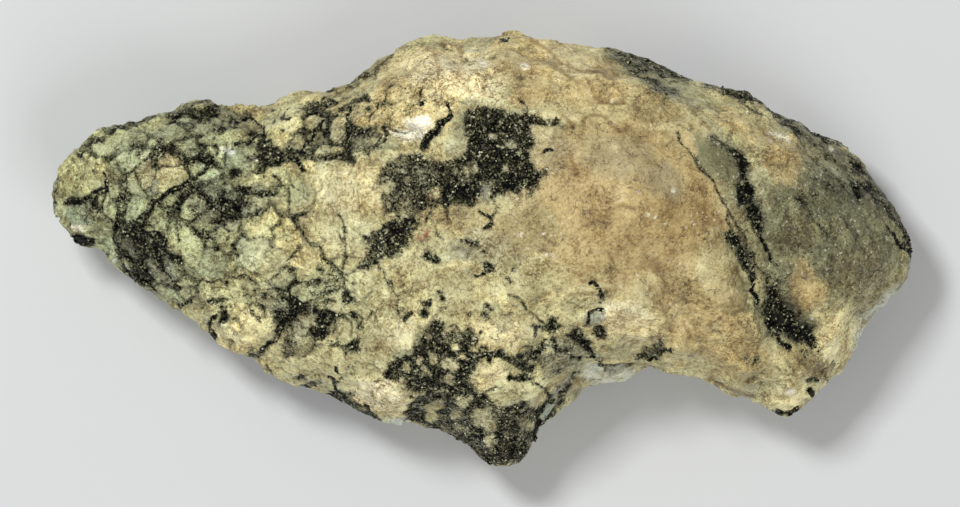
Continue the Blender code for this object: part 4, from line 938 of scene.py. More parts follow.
@dataclass(frozen=True)
class CalciteFinish:
    """Broken vein calcite: a sugary, slightly glossy mineral skin.

    Glints off its cleavage faces are painted into its colour as white specks, iron gives it tan
    stains, and tarnished silver fills it with black grains. The patterns' sizes are in millimetres.
    The finest real grains are smaller than the render can show, so they are drawn as coarse as it
    needs, from 0.14 mm.
    """

    ior: float = 1.6
    ore_metal: float = 0.95
    glossiest: float = 0.34
    dullest: float = 0.74
    gloss_patch: float = 0.6
    mottle: float = 3.0
    sugar: float = 0.14
    facet: float = 0.24
    tilt: float = 0.50
    dust: float = 0.20
    sparkle: float = 0.19
    chip: float = 1.7
    crazed_patch: float = 1.1
    cleavage_step: float = 0.17
    cleaved_patch: float = 1.9
    ore_cluster: float = 0.9
    ore_edge: float = 0.18
    ore_grain: float = 0.20
    rise: float = 0.5
    rise_height: float = 0.20
    bead: float = 0.30
    bead_height: float = 0.14
    tint_scale: float = 1.52
    speck: str = "#322b1c"
    glint: str = "#f6f1d6"
    rust: str = "#5f2d1e"
    smear: str = "#3a3932"
    tones: Stops = ((0.22, "#74634a"), (0.40, "#b9ae98"), (0.50, "#d6d2c5"), (0.62, "#ecebe2"),
                    (0.76, "#ffffff"))
    ore_tones: Stops = ((0.0, "#09090b"), (0.40, "#101011"), (0.55, "#27271e"), (0.68, "#565640"),
                        (0.82, "#93936f"), (0.97, "#d6d6b4"))

    def material(self) -> bpy.types.Material:
        """Make the calcite and ore material.

        Returns:
            The material.
        """
        # Calcite broken from a vein, with tarnished silver grown through it. The eye sees pale
        # sugary grains with small glossy faces, and black grains that glitter here and there.
        made = bpy.data.materials.new("calcite_with_tarnished_silver")
        made.use_nodes = True
        tree = made.node_tree
        shader = tree.nodes["Principled BSDF"]
        shader.inputs["IOR"].default_value = self.ior
        add_node(tree, "place", "TexCoord")
        for name in ("ore", "vein", "grit", "rust", "cleavage", "tint"):
            add_node(tree, name, "Attribute", {"attribute_name": name})
        self.spread_ore(tree)
        self.colour_calcite(tree)
        self.speck_calcite(tree)
        self.colour_ore(tree)
        self.roughen(tree)
        add_node(tree, "skin", "Mix", {"data_type": "RGBA"}, {0: "black", 6: "calcite.2", 7: "silver.2"})
        add_node(tree, "metal", "MapRange", ends(0.0, 1.0, 0.0, self.ore_metal), {"Value": "black"})
        for name, source, output in (("Base Color", "skin", 2), ("Metallic", "metal", 0),
                                     ("Roughness", "gloss", 0), ("Normal", "normal", 0)):
            tree.links.new(tree.nodes[source].outputs[output], shader.inputs[name])
        return made

    def spread_ore(self, tree: bpy.types.NodeTree) -> None:
        """Work out where there is ore: ragged grains in the patches, and lines in the veins.

        Args:
            tree: the material's node tree. Its node "black" then gives 0 for calcite and 1 for ore.
        """
        add_node(tree, "clusters", "TexNoise", lumps(self.ore_cluster, 4.0, 0.65), PLACE)
        add_node(tree, "edges", "TexNoise", lumps(self.ore_edge, 3.0, 0.75, 1.3), PLACE)
        for name, clusters, edges, low, high in (("ore", 1.3, 1.9, 1.60, 1.65),
                                                 ("vein", 0.7, 1.5, 1.05, 1.12)):
            add_node(tree, f"lumpy {name}", "Math", part(clusters), {0: "clusters", 2: f"{name}.Fac"})
            add_node(tree, f"ragged {name}", "Math", part(edges), {0: "edges", 2: f"lumpy {name}"})
            add_node(tree, f"{name} here", "MapRange", ends(low, high), {"Value": f"ragged {name}"})
        add_node(tree, "black", "Math", {"operation": "MAXIMUM"}, {0: "ore here", 1: "vein here"})

    def colour_calcite(self, tree: bpy.types.NodeTree) -> None:
        """Mottle the stained calcite, with sugary grains and steps across the cleavage.

        Args:
            tree: the material's node tree. Its node "stained" then gives the colour.
        """
        add_node(tree, "mottle", "TexNoise", lumps(self.mottle, 8.0, 0.66), PLACE)
        add_node(tree, "sugar", "TexNoise", lumps(self.sugar, 2.0, 0.7), PLACE)
        add_node(tree, "sugary", "MapRange", ends(0.3, 0.7, -0.20, 0.20), {"Value": "sugar"})
        add_node(tree, "facets", "TexVoronoi", {"Scale": per(self.facet)}, PLACE)
        add_node(tree, "facet", "SeparateColor", links={"Color": "facets.Color"})
        add_node(tree, "faces", "MapRange", ends(0.0, 1.0, -0.5, 0.5), {"Value": "facet"})
        add_node(tree, "fine", "Math", part(0.34), {0: "faces", 2: "sugary"})
        add_node(tree, "gritty", "MapRange", ends(0.0, 1.0, 0.35, 1.25), {"Value": "grit.Fac"})
        add_node(tree, "fine grit", "Math", TIMES, {0: "fine", 1: "gritty"})
        add_node(tree, "mottled", "Math", part(1.0), {0: "mottle", 2: "fine grit"})
        add_node(tree, "across", "Math", {"operation": "DIVIDE", 1: self.cleavage_step},
                 {0: "cleavage.Fac"})
        add_node(tree, "steps", "TexNoise", {"noise_dimensions": "1D", "Scale": 1.0, "Detail": 2.0},
                 {"W": "across"})
        add_node(tree, "stepped", "MapRange", ends(0.3, 0.7, -0.07, 0.07), {"Value": "steps"})
        add_node(tree, "cleaved", "TexNoise", lumps(self.cleaved_patch, 2.0), PLACE)
        add_node(tree, "cleaved here", "MapRange", ends(0.45, 0.65), {"Value": "cleaved"})
        add_node(tree, "steps here", "Math", TIMES, {0: "stepped", 1: "cleaved here"})
        add_node(tree, "tone", "Math", part(1.0), {0: "steps here", 2: "mottled"})
        add_node(tree, "toned", "ValToRGB", links={"Fac": "tone"})
        fill_ramp(tree.nodes["toned"].color_ramp, self.tones)
        add_node(tree, "stained", "Mix", {"data_type": "RGBA", "blend_type": "MULTIPLY", 0: 1.0},
                 {6: "tint", 7: "toned"})

    def speck_calcite(self, tree: bpy.types.NodeTree) -> None:
        """Add dark specks, short cracks between chips, and painted white glints of light, most where it is
        gritty.

        Args:
            tree: the material's node tree. Its node "calcite" then gives the calcite's colour.
        """
        add_node(tree, "dust", "TexNoise", lumps(self.dust, 1.0), PLACE)
        add_node(tree, "gritty dust", "Math", part(0.05), {0: "grit.Fac", 2: "dust"})
        add_node(tree, "dark dust", "Math", part(-0.30), {0: "mottle", 2: "gritty dust"})
        add_node(tree, "specks", "MapRange", ends(0.56, 0.60, 0.0, 0.75), {"Value": "dark dust"})
        add_node(tree, "specked", "Mix", cover(self.speck), {0: "specks", 6: "stained.2"})
        add_node(tree, "wander", "TexNoise", lumps(0.9, 2.0), PLACE)
        add_node(tree, "wandered", "VectorMath", {"operation": "MULTIPLY_ADD", 1: (MM, MM, MM)},
                 {0: "wander.Color", 2: "place.Object"})
        add_node(tree, "chips", "TexVoronoi", {"feature": "DISTANCE_TO_EDGE", "Scale": per(self.chip)},
                 {"Vector": "wandered"})
        add_node(tree, "lines", "MapRange", ends(0.012, 0.045, 0.6, 0.0), {"Value": "chips"})
        add_node(tree, "crazed", "TexNoise", lumps(self.crazed_patch, 2.0), PLACE)
        add_node(tree, "gritty crazed", "Math", part(0.08), {0: "grit.Fac", 2: "crazed"})
        add_node(tree, "crazed here", "MapRange", ends(0.55, 0.63), {"Value": "gritty crazed"})
        add_node(tree, "cracks", "Math", TIMES, {0: "lines", 1: "crazed here"})
        add_node(tree, "cracked", "Mix", cover(self.speck), {0: "cracks", 6: "specked.2"})
        # Painted highlights: a few small cells turn near white, as glints of light on cleavage faces.
        add_node(tree, "sparkles", "TexVoronoi", {"Scale": per(self.sparkle)}, PLACE)
        add_node(tree, "chance", "SeparateColor", links={"Color": "sparkles.Color"})
        add_node(tree, "gritty chance", "Math", part(0.06), {0: "grit.Fac", 2: "chance"})
        add_node(tree, "pale chance", "Math", part(0.30), {0: "mottle", 2: "gritty chance"})
        add_node(tree, "glints", "MapRange", ends(1.15, 1.18, 0.0, 0.5), {"Value": "pale chance"})
        add_node(tree, "calcite", "Mix", cover(self.glint), {0: "glints", 6: "cracked.2"})

    def colour_ore(self, tree: bpy.types.NodeTree) -> None:
        """Make most grains black with tarnish, some grey, and a few that catch the light.

        Where the ore is packed its grains are too fine to tell apart, and a smear covers them.

        Args:
            tree: the material's node tree. Its node "silver" then gives the ore's colour.
        """
        add_node(tree, "ore cells", "TexVoronoi", {"Scale": per(self.ore_grain)}, PLACE)
        add_node(tree, "ore chance", "SeparateColor", links={"Color": "ore cells.Color"})
        add_node(tree, "ore lumps", "TexNoise", lumps(self.ore_cluster, 4.0, 0.7), PLACE)
        add_node(tree, "lumpy", "MapRange", ends(0.3, 0.7, -0.35, 0.45), {"Value": "ore lumps"})
        add_node(tree, "ore tone", "Math", part(0.75), {0: "ore chance", 2: "lumpy"})
        add_node(tree, "grains", "ValToRGB", links={"Fac": "ore tone"})
        fill_ramp(tree.nodes["grains"].color_ramp, self.ore_tones)
        add_node(tree, "packed", "MapRange", ends(0.58, 0.80, 0.0, 0.7), {"Value": "ore.Fac"})
        add_node(tree, "smeared", "Mix", cover(self.smear), {0: "packed", 6: "grains"})
        add_node(tree, "silver", "Mix", cover(self.rust), {0: "rust.Fac", 6: "smeared.2"})

    def roughen(self, tree: bpy.types.NodeTree) -> None:
        """Give each small face its own gloss and lean, over sugary relief and rounder ore grains.

        Args:
            tree: the material's node tree. Its nodes "gloss" and "normal" then give the surface.
        """
        add_node(tree, "gloss cells", "TexVoronoi", {"Scale": per(self.gloss_patch)}, PLACE)
        add_node(tree, "gloss chance", "SeparateColor", links={"Color": "gloss cells.Color"})
        add_node(tree, "gloss", "MapRange", ends(0.0, 1.0, self.glossiest, self.dullest),
                 {"Value": "gloss chance"})
        add_node(tree, "rise", "TexNoise", lumps(self.rise, 6.0, 0.7), PLACE)
        add_node(tree, "rougher", "MapRange", ends(0.0, 1.0, 0.5, 1.4), {"Value": "grit.Fac"})
        add_node(tree, "risen", "Math", TIMES, {0: "rise", 1: "rougher"})
        add_node(tree, "sugar bump", "Bump", {"Strength": 1.0, "Distance": self.rise_height * MM},
                 {"Height": "risen"})
        add_node(tree, "beads", "TexVoronoi", {"Scale": per(self.bead)}, PLACE)
        add_node(tree, "ore beads", "Math", TIMES, {0: "beads", 1: "black"})
        add_node(tree, "ore bump", "Bump",
                 {"Strength": 1.0, "Distance": self.bead_height * MM, "invert": True},
                 {"Height": "ore beads", "Normal": "sugar bump"})
        add_node(tree, "lean", "VectorMath", {"operation": "SUBTRACT", 1: (0.5, 0.5, 0.5)},
                 {0: "facets.Color"})
        add_node(tree, "leaning", "MapRange", ends(0.0, 1.0, 0.3 * self.tilt, 2.0 * self.tilt),
                 {"Value": "grit.Fac"})
        add_node(tree, "leaned", "VectorMath", {"operation": "SCALE"}, {0: "lean", "Scale": "leaning"})
        add_node(tree, "tilted", "VectorMath", {"operation": "ADD"}, {0: "leaned", 1: "ore bump"})
        add_node(tree, "normal", "VectorMath", {"operation": "NORMALIZE"}, {0: "tilted"})


@dataclass
class Stone:
    """The whole stone: its fine skin, carved and painted over the CAD solid's form.

    Skin is the size of its faces. Those whose normals point down by more than faces_down are
    thinned towards most_triangles, before refine_lines adds some. A gap is the depth between grains,
    and a tilt is how steep their cleavage faces are. Bend and rag put the drawn outlines out of
    true, and wander the stains, each by so much. Halo, glint and rust are how strongly each covers
    what it lies on; the glint is a painted highlight.
    """

    skin: float = 0.28
    most_triangles: int = 158_000
    faces_down: float = -0.3
    smoothing: int = 34
    swell: float = 0.16
    fine_lump: float = 0.55
    fine_height: float = 0.04
    ore_depth: float = 0.10
    vein_depth: float = 0.14
    grain: float = 3.0
    grain_gap: float = 0.07
    grain_tilt: float = 0.19
    chip: float = 1.2
    chip_gap: float = 0.03
    chip_tilt: float = 0.20
    seam: float = 0.16
    thin_line: float = 0.18
    line_reach: float = 0.32
    bend_size: float = 1.1
    bend: float = 0.36
    rag_size: float = 0.45
    rag: float = 0.30
    plain_grit: float = 0.4
    wander_size: float = 1.8
    wander: float = 1.4
    halo: float = 0.6
    glint: float = 0.75
    rust: float = 0.4
    seed: int = 5
    finish: CalciteFinish = field(default_factory=CalciteFinish)

    def build(self) -> bpy.types.Object:
        """Model the stone's skin, paint it and hang it on the frame.

        Returns:
            The finished piece.
        """
        noise.seed_set(self.seed)
        stone = self.copy_of_node()
        self.refine(stone)
        self.refine_lines(stone)
        places = column(stone.data.vertices, "co") / MM
        normals = column(stone.data.vertices, "normal")
        up = ease(normals[:, 2], -0.20, 0.05)
        grains = crystal_grains(places, self.grain)
        chips = crystal_grains(places, self.chip, 7.3)
        ore, vein = self.ore_fields(places, up, grains.border, chips.border)
        moved = places + normals * self.relief(places, grains, chips, ore, vein)[:, None]
        moved[:, 2] = np.maximum(moved[:, 2], 0.0)
        put(stone, moved)
        hollow = hollowness(stone, moved, column(stone.data.vertices, "normal"))
        tint, grit, rust = self.paint(places, up, grains.mark, chips.mark, hollow,
                                      np.maximum(ore, vein))
        for name, values in (("ore", ore), ("vein", vein), ("grit", grit), ("rust", rust),
                             ("cleavage", grains.cleavage)):
            keep_value(stone, name, values)
        keep_colour(stone, "tint", tint)
        stone.data.materials.clear()
        stone.data.materials.append(self.finish.material())
        only(stone)
        bpy.ops.object.shade_smooth()
        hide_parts(NODE)
        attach(stone, BODY)
        return stone

    def copy_of_node(self) -> bpy.types.Object:
        """Copy the CAD solid into a new piece and merge its loose triangles.

        Returns:
            The new piece.
        """
        nothing_selected()
        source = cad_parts[NODE]
        stone = bpy.data.objects.new("stone_skin", source.data.copy())
        bpy.context.scene.collection.objects.link(stone)
        only(stone)
        bpy.ops.object.mode_set(mode="EDIT")
        bpy.ops.mesh.select_all(action="SELECT")
        bpy.ops.mesh.remove_doubles(threshold=1e-6)
        bpy.ops.object.mode_set(mode="OBJECT")
        return stone

    def refine(self, stone: bpy.types.Object) -> None:
        """Cover the stone with a fine even skin, worn smooth, and thin it where it faces down.

        Args:
            stone: the piece.
        """
        finish_modifier(stone, "REMESH", mode="VOXEL", voxel_size=self.skin * MM, adaptivity=0.0)
        finish_modifier(stone, "SMOOTH", factor=0.5, iterations=self.smoothing)
        faces = len(stone.data.polygons) * 2
        if faces <= self.most_triangles:
            return
        below = stone.vertex_groups.new(name="faces_down")
        downward = np.nonzero(column(stone.data.vertices, "normal")[:, 2] < self.faces_down)[0]
        below.add([int(index) for index in downward], 1.0, "REPLACE")
        finish_modifier(stone, "DECIMATE", ratio=self.most_triangles / faces,
                        vertex_group=below.name, vertex_group_factor=1000.0,
                        use_collapse_triangulate=True)
        stone.vertex_groups.clear()

    def refine_lines(self, stone: bpy.types.Object) -> None:
        """Split the skin's faces along the thinnest lines, which are finer than the skin.

        Args:
            stone: the piece.
        """
        places = column(stone.data.vertices, "co") / MM
        upward = column(stone.data.vertices, "normal")[:, 2] > 0.0
        near_line = np.zeros(len(places), bool)
        thin = [route for veins in VEINS if veins.half_width < self.thin_line for route in veins.routes]
        for route in thin:
            near = near_route(places[:, :2], route, 1.0)
            near_line[near] |= stroke_distance(places[near, :2], route) < self.line_reach
        stone.data.vertices.foreach_set("select", near_line & upward)
        only(stone)
        bpy.context.tool_settings.mesh_select_mode = (True, False, False)
        bpy.ops.object.mode_set(mode="EDIT")
        bpy.ops.mesh.subdivide(number_cuts=2)
        bpy.ops.mesh.select_all(action="SELECT")
        bpy.ops.mesh.quads_convert_to_tris()
        bpy.ops.object.mode_set(mode="OBJECT")

    def broken_share(self, places: np.ndarray) -> np.ndarray:
        """How lumpy the skin is: most on the left arm and the prong, least on the dome.

        Args:
            places: the skin's vertices in millimetres.

        Returns:
            A share from 0 to 1 for each vertex.
        """
        worn = np.hypot((places[:, 0] - 14.0) / 15.0, (places[:, 1] - 4.0) / 11.0)
        return 0.12 + 0.43 * ease(worn, 0.6, 1.3) + 0.45 * ease(-places[:, 0], 14.0, 24.0)

    def relief(self, places: np.ndarray, grains: Grains, chips: Grains, ore: np.ndarray,
               vein: np.ndarray) -> np.ndarray:
        """Work out the height of the crystal faces, the gaps between them and the sunk veins.

        Args:
            places: the skin's vertices in millimetres.
            grains: the calcite grains there.
            chips: the smaller crystal faces there.
            ore: the ore's values.
            vein: the veins' values.

        Returns:
            How far each vertex moves outward, in millimetres.
        """
        broken = self.broken_share(places)
        height = broken * (self.grain_tilt * grains.slope
                           + self.grain_gap * (ease(grains.border, 0.0, 0.35) - 1.0))
        height += (0.25 + 0.75 * broken) * (self.chip_tilt * chips.slope
                                            + self.chip_gap * (ease(chips.border, 0.0, 0.25) - 1.0))
        height += self.swell + self.fine_height * soft_noise(places, self.fine_lump, 3.1)
        height -= self.ore_depth * ease(ore, -0.1, 0.3)
        return height - self.vein_depth * ease(vein, -0.14, 0.06)

    def ore_fields(self, places: np.ndarray, up: np.ndarray, border: np.ndarray,
                   chip_border: np.ndarray) -> tuple[np.ndarray, np.ndarray]:
        """Work out where ore and veins are.

        Args:
            places: the skin's vertices in millimetres.
            up: 1 where the skin faces up, 0 where it is the unseen back.
            border: distance of each vertex from its calcite grain's border.
            chip_border: distance of each vertex from its chip's border.

        Returns:
            The ore's and the veins' values at each vertex: over 0 inside, in millimetres.
        """
        bend = drift(places, self.bend_size, 21.0)
        plan = places[:, :2] + self.bend * bend[:, :2]
        ragged = plan + self.rag * drift(places, self.rag_size, 3.0)[:, :2]
        ore = self.drawn_ore(plan, ragged)
        vein = np.full(len(places), BARE)
        for veins in VEINS:
            for route in veins.routes:
                near = near_route(plan, route, 1.5)
                depth = veins.half_width - stroke_distance(plan[near], route)
                vein[near] = np.maximum(vein[near], depth)
        # Ore also creeps along the borders of grains and chips, in patches, most where it is peppered.
        patchy = soft_noise(places, 3.0, 9.0)
        peppered, seamed = self.peppered_share(places)
        ore += (0.25 + 0.75 * peppered) * (0.45 * (0.30 - np.minimum(border, 0.9))
                                           + 0.35 * (0.14 - np.minimum(chip_border, 0.5)))
        speckle = -0.62 + 0.36 * peppered + 0.50 * patchy - 0.35 * border
        ore = np.maximum(ore, np.where(peppered > TRACE, speckle, BARE))
        seam = self.seam * seamed - border - 0.32 * (0.34 - patchy)
        vein = np.maximum(vein - 0.12 + 0.06 * bend[:, 2], np.where(seamed > TRACE, seam, BARE))
        # The unseen back has ore from noise alone, and veins along the grains' borders.
        hidden_ore = 1.6 * (soft_noise(places, 9.0, 5.0) - 0.22)
        hidden_vein = 0.14 - border + 0.4 * soft_noise(places, 6.0, 9.0)
        ore = up * ore + (1 - up) * np.clip(hidden_ore, BARE, 0.6)
        vein = up * vein + (1 - up) * np.clip(hidden_vein, BARE, 0.3)
        return ore, vein

    def drawn_ore(self, plan: np.ndarray, ragged: np.ndarray) -> np.ndarray:
        """Work out the ore of the drawn patches and streaks, without the pale islands in them.

        Args:
            plan: X and Y of the skin's vertices, put out of true for the streaks.
            ragged: the same, with rags as well, for the patches and islands.

        Returns:
            The ore's value at each vertex.
        """
        ore = np.full(len(plan), BARE)
        for patches in ORE_PATCHES:
            grade = patches.grade.value
            rise = 0.6 + 1.6 * max(grade, 0.0) * (1.0 - grade)
            for outline in patches.outlines:
                near = near_route(ragged, outline, 1.0)
                depth = stroke_distance(ragged[near], outline, closed=True)
                depth = np.where(within(ragged[near], outline), depth, -depth)
                ore[near] = np.maximum(ore[near], np.minimum(rise * depth - 0.05, grade))
        for streaks in ORE_STREAKS:
            for route in streaks.routes:
                near = near_route(plan, route, 2.0)
                share = stroke_distance(plan[near], route) / streaks.half_width
                value = streaks.grade.value - (streaks.grade.value + 0.12) * share**1.5
                ore[near] = np.maximum(ore[near], value)
        for x, y, radius in PALE_ISLANDS:
            share = np.hypot(ragged[:, 0] - x, ragged[:, 1] - y) / radius
            ore -= 0.6 * (1.0 - ease(share, 0.3, 1.5))
        return ore

    def peppered_share(self, places: np.ndarray) -> tuple[np.ndarray, np.ndarray]:
        """How much fine ore runs through the calcite, most on the left arm.

        Args:
            places: the skin's vertices in millimetres.

        Returns:
            The share of specks and the share of seams between grains at each vertex, from 0 to 1.
        """
        specks, seams = np.zeros(len(places)), np.zeros(len(places))
        for zone in PEPPERED:
            share = zone.depth * (1.0 - ease(zone.reach(places[:, :2]), 0.6, 1.15))
            specks = np.maximum(specks, share)
            if zone.seams:
                seams = np.maximum(seams, share)
        return specks, seams

    def paint(self, places: np.ndarray, up: np.ndarray, mark: np.ndarray, chip_mark: np.ndarray,
              hollow: np.ndarray, ore: np.ndarray) -> tuple[np.ndarray, np.ndarray, np.ndarray]:
        """Lay the stains over cream calcite, vary each grain, and paint shade into hollows and light onto
        rises.

        Args:
            places: the skin's vertices in millimetres.
            up: 1 where the skin faces up, 0 where it is the unseen back.
            mark: numbers that tell the grains apart.
            chip_mark: numbers that tell the smaller crystal faces apart.
            hollow: how deep each vertex lies below the skin around it.
            ore: the ore's values, which show through the calcite beside it.

        Returns:
            The calcite's colour with its painted shade and highlights, its grit and the ore's
            rust at each vertex.
        """
        colour = np.tile(np.array(linear(CREAM)[:3]), (len(places), 1))
        grit = np.full(len(places), self.plain_grit)
        wander = drift(places, self.wander_size, 1.0)[:, :2]
        for stain in STAINS:
            bent = places[:, :2] + wander * min(self.wander, 0.6 * min(stain.length, stain.width))
            share = stain.depth * (1.0 - ease(stain.reach(bent), 0.5, 1.2))
            colour += share[:, None] * (np.array(linear(stain.colour)[:3]) - colour)
            grit += share * (stain.grit - grit)
        # Each grain and chip is a little lighter or darker, and a little warmer or colder.
        broken = self.broken_share(places)
        colour *= 1.0 + (0.56 * broken * (mark[:, 0] - 0.42))[:, None] * np.array((1.0, 0.97, 0.85))
        colour *= 1.0 + ((0.12 + 0.24 * broken) * (chip_mark[:, 0] - 0.45))[:, None]
        colour *= 1.0 + (0.14 * broken * (mark[:, 1] - 0.5))[:, None] * np.array((1.0, 0.2, -1.0))
        halo = self.halo * ease(ore, -0.26, 0.20)
        colour += halo[:, None] * (np.array(linear(HALO)[:3]) - colour)
        # Painted shade and light: the colour is darkened in hollows and lightened on rises.
        shade = 1.0 - 0.38 * ease(hollow, 0.025, 0.13) + 0.15 * ease(-hollow, 0.02, 0.10)
        for route in HAIRLINES:
            near = near_route(places[:, :2], route, 1.0)
            faint = 1.0 - ease(stroke_distance(places[near, :2], route), 0.05, 0.30)
            colour[near] *= 1.0 - (faint * up[near])[:, None] * HAIRLINE_DEPTH
        # Painted highlights: white spots at the glints.
        for x, y, radius in GLINTS:
            spot = 1.0 - ease(np.hypot(places[:, 0] - x, places[:, 1] - y), radius * 0.5, radius * 1.2)
            colour += (self.glint * spot * up)[:, None] * (np.array(linear(CHALK_AND_HIGHLIGHT)[:3]) - colour)
        rust = np.zeros(len(places))
        for x, y, radius in RUST_SPOTS:
            spot = 1.0 - ease(np.hypot(places[:, 0] - x, places[:, 1] - y), radius * 0.3, radius * 1.3)
            rust = np.maximum(rust, self.rust * spot * up)
        return colour * shade[:, None] * self.finish.tint_scale, grit, rust


@dataclass(frozen=True)
class SilverFinish:
    """Tarnished native silver and dark sulphide grains: partly metallic, mostly black."""

    metallic: float = 0.3
    shine: float = 0.12
    roughness: float = 0.45
    shades: Stops = ((0.48, "#0f0f10"), (0.22, "#22221e"), (0.14, "#4b4b3c"), (0.11, "#8b8b6d"),
                     (0.05, "#dcdcb8"))

    def material(self) -> bpy.types.Material:
        """Make the grains' material, with each grain's own shade.

        Returns:
            The material.
        """
        # Loose grains of native silver, black with tarnish: dull, with a few that catch the light.
        made = bpy.data.materials.new("tarnished_silver_grains")
        made.use_nodes = True
        tree = made.node_tree
        shader = tree.nodes["Principled BSDF"]
        shader.inputs["Metallic"].default_value = self.metallic
        shader.inputs["Roughness"].default_value = self.roughness
        shader.inputs["Specular IOR Level"].default_value = self.shine
        add_node(tree, "shade", "Attribute", {"attribute_name": "shade"})
        tree.links.new(tree.nodes["shade"].outputs["Color"], shader.inputs["Base Color"])
        return made


@dataclass
class OreCrumbs:
    """Thousands of small ore grains that stand a little out of the ore patches.

    Smallest and largest are radii, and sunk is the share of the radius that lies in the skin.
    """

    count: int = 6500
    smallest: float = 0.06
    largest: float = 0.16
    sunk: float = 0.25
    seed: int = 11
    finish: SilverFinish = field(default_factory=SilverFinish)

    def build(self, stone: bpy.types.Object) -> bpy.types.Object:
        """Scatter the grains over the stone's ore.

        Args:
            stone: the finished stone skin.

        Returns:
            The finished piece, all grains in one mesh.
        """
        grain = self.grain()
        points = column(grain.data.vertices, "co") / MM
        faces = column(grain.data.polygons, "vertices", 3, np.int32)
        bpy.data.objects.remove(grain)
        picker = np.random.default_rng(self.seed)
        seats, normals = self.seats(stone, picker)
        sizes = self.smallest + (self.largest - self.smallest) * picker.random(len(seats)) ** 2
        middles = seats - normals * (sizes * self.sunk)[:, None]
        turns = self.turns(picker, len(seats))
        uneven = points[None] * (1.0 + 0.35 * (picker.random((len(seats), len(points), 1)) - 0.5))
        places = np.einsum("gij,gpj->gpi", turns, uneven) * sizes[:, None, None] + middles[:, None]
        places[:, :, 2] = np.maximum(places[:, :, 2], 0.0)
        offsets = np.arange(len(seats))[:, None, None] * len(points)
        mesh = bpy.data.meshes.new("ore_crumbs")
        mesh.from_pydata((places.reshape(-1, 3) * MM).tolist(), [],
                         (faces[None] + offsets).reshape(-1, 3).tolist())
        crumbs = bpy.data.objects.new("ore_crumbs", mesh)
        bpy.context.scene.collection.objects.link(crumbs)
        shares = [share for share, _ in self.finish.shades]
        picked = picker.choice(len(shares), len(seats), p=shares)
        colours = np.array([linear(colour)[:3] for _, colour in self.finish.shades])[picked]
        keep_colour(crumbs, "shade", np.repeat(colours, len(points), axis=0))
        mesh.materials.append(self.finish.material())
        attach(crumbs, BODY)
        return crumbs

    def grain(self) -> bpy.types.Object:
        """Shape one grain of 20 faces, a little longer than wide and flattened.

        Returns:
            The grain, one millimetre in radius.
        """
        nothing_selected()
        bpy.ops.mesh.primitive_ico_sphere_add(subdivisions=1, radius=MM)
        grain = bpy.context.object
        bpy.ops.object.mode_set(mode="EDIT")
        bpy.ops.mesh.select_all(action="SELECT")
        bpy.ops.transform.resize(value=(1.15, 0.95, 0.8))
        bpy.ops.object.mode_set(mode="OBJECT")
        return grain

    def seats(self, stone: bpy.types.Object,
              picker: np.random.Generator) -> tuple[np.ndarray, np.ndarray]:
        """Choose where the grains sit: most where ore and calcite mix, few in packed ore.

        Args:
            stone: the stone skin, with its ore values.
            picker: the source of the random picks.

        Returns:
            The seats in millimetres, and the skin's directions there.
        """
        places = column(stone.data.vertices, "co") / MM
        normals = column(stone.data.vertices, "normal")
        ore = column(stone.data.attributes["ore"].data, "value", 1)[:, 0]
        weight = ease(ore, 0.02, 0.40) * (1.0 - 0.8 * ease(ore, 0.50, 0.75)) * (places[:, 2] > 0.3)
        chosen = picker.choice(len(places), self.count, replace=False, p=weight / weight.sum())
        return places[chosen], normals[chosen]

    def turns(self, picker: np.random.Generator, count: int) -> np.ndarray:
        """Make random rotations.

        Args:
            picker: the source of the random picks.
            count: how many.

        Returns:
            One matrix of three rows and columns for each.
        """
        turned, _ = np.linalg.qr(picker.normal(size=(count, 3, 3)))
        return turned * np.sign(np.linalg.det(turned))[:, None, None]


FLOOR_GREY = "#dfe1e2"
SKY_WHITE = "#f4f3f0"


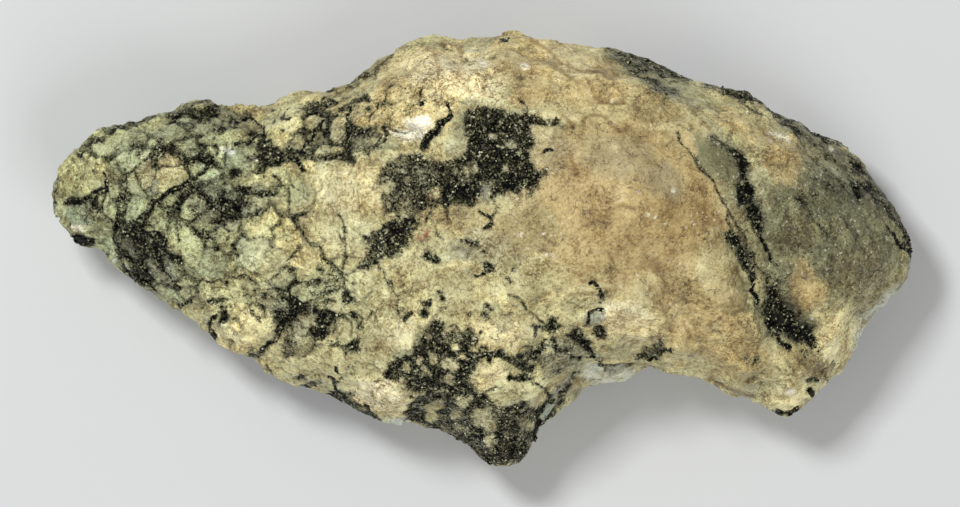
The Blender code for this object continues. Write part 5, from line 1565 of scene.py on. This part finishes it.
@dataclass
class Studio:
    """A plain pale floor, soft light and a camera that looks straight down.

    The frame is as wide as frame_width at the level where the stone is widest.
    """

    frame_width: float = 96.0
    middle_y: float = -0.35
    camera_height: float = 1200.0
    sensor: float = 36.0
    widest_level: float = 8.0
    sky_power: float = 0.33

    def build(self) -> None:
        """Set the floor, the lights, the world and the camera."""
        self.floor()
        self.light("key", (-170.0, 190.0, 470.0), 110.0, 1.55)
        self.light("fill", (170.0, -300.0, 400.0), 300.0, 0.8)
        world = bpy.data.worlds.new("studio")
        world.use_nodes = True
        sky = world.node_tree.nodes["Background"]
        sky.inputs["Color"].default_value = linear(SKY_WHITE)
        sky.inputs["Strength"].default_value = self.sky_power
        bpy.context.scene.world = world
        self.camera()
        bpy.context.scene.view_settings.view_transform = "Standard"

    def floor(self) -> None:
        """Add the floor that the stone lies on."""
        nothing_selected()
        bpy.ops.mesh.primitive_plane_add(size=4.0)
        floor = bpy.context.object
        floor.name = "floor"
        # A board painted matt pale grey: it takes a soft shadow and shows no gloss.
        paint = bpy.data.materials.new("matt_pale_paint")
        paint.use_nodes = True
        shader = paint.node_tree.nodes["Principled BSDF"]
        shader.inputs["Base Color"].default_value = linear(FLOOR_GREY)
        shader.inputs["Roughness"].default_value = 0.9
        floor.data.materials.append(paint)

    def light(self, name: str, place: tuple[float, float, float], size: float, power: float) -> None:
        """Hang a square lamp that faces the stone.

        Args:
            name: the lamp's name.
            place: its middle in millimetres.
            size: its side in millimetres.
            power: its power in watts.
        """
        lamp = bpy.data.lights.new(name, "AREA")
        lamp.size = size * MM
        lamp.energy = power
        holder = bpy.data.objects.new(name, lamp)
        holder.location = Vector(place) * MM
        holder.rotation_euler = (-holder.location).to_track_quat("-Z", "Y").to_euler()
        bpy.context.scene.collection.objects.link(holder)

    def camera(self) -> None:
        """Look straight down from far above, so that the stone keeps its plan."""
        lens = bpy.data.cameras.new("camera")
        lens.sensor_width = self.sensor
        lens.lens = self.sensor * (self.camera_height - self.widest_level) / self.frame_width
        lens.clip_end = 10.0
        holder = bpy.data.objects.new("camera", lens)
        holder.location = (0.0, self.middle_y * MM, self.camera_height * MM)
        bpy.context.scene.collection.objects.link(holder)
        bpy.context.scene.camera = holder


def main() -> None:
    """Build the stone, its ore grains and the studio, and log the stone's and the grains' triangles."""
    logging.basicConfig(level=logging.INFO, format="%(message)s")
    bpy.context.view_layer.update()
    stone = Stone().build()
    log.info("stone skin: %d triangles", len(stone.data.polygons))
    crumbs = OreCrumbs().build(stone)
    log.info("ore crumbs: %d triangles", len(crumbs.data.polygons))
    Studio().build()


if __name__ == "__main__":
    main()
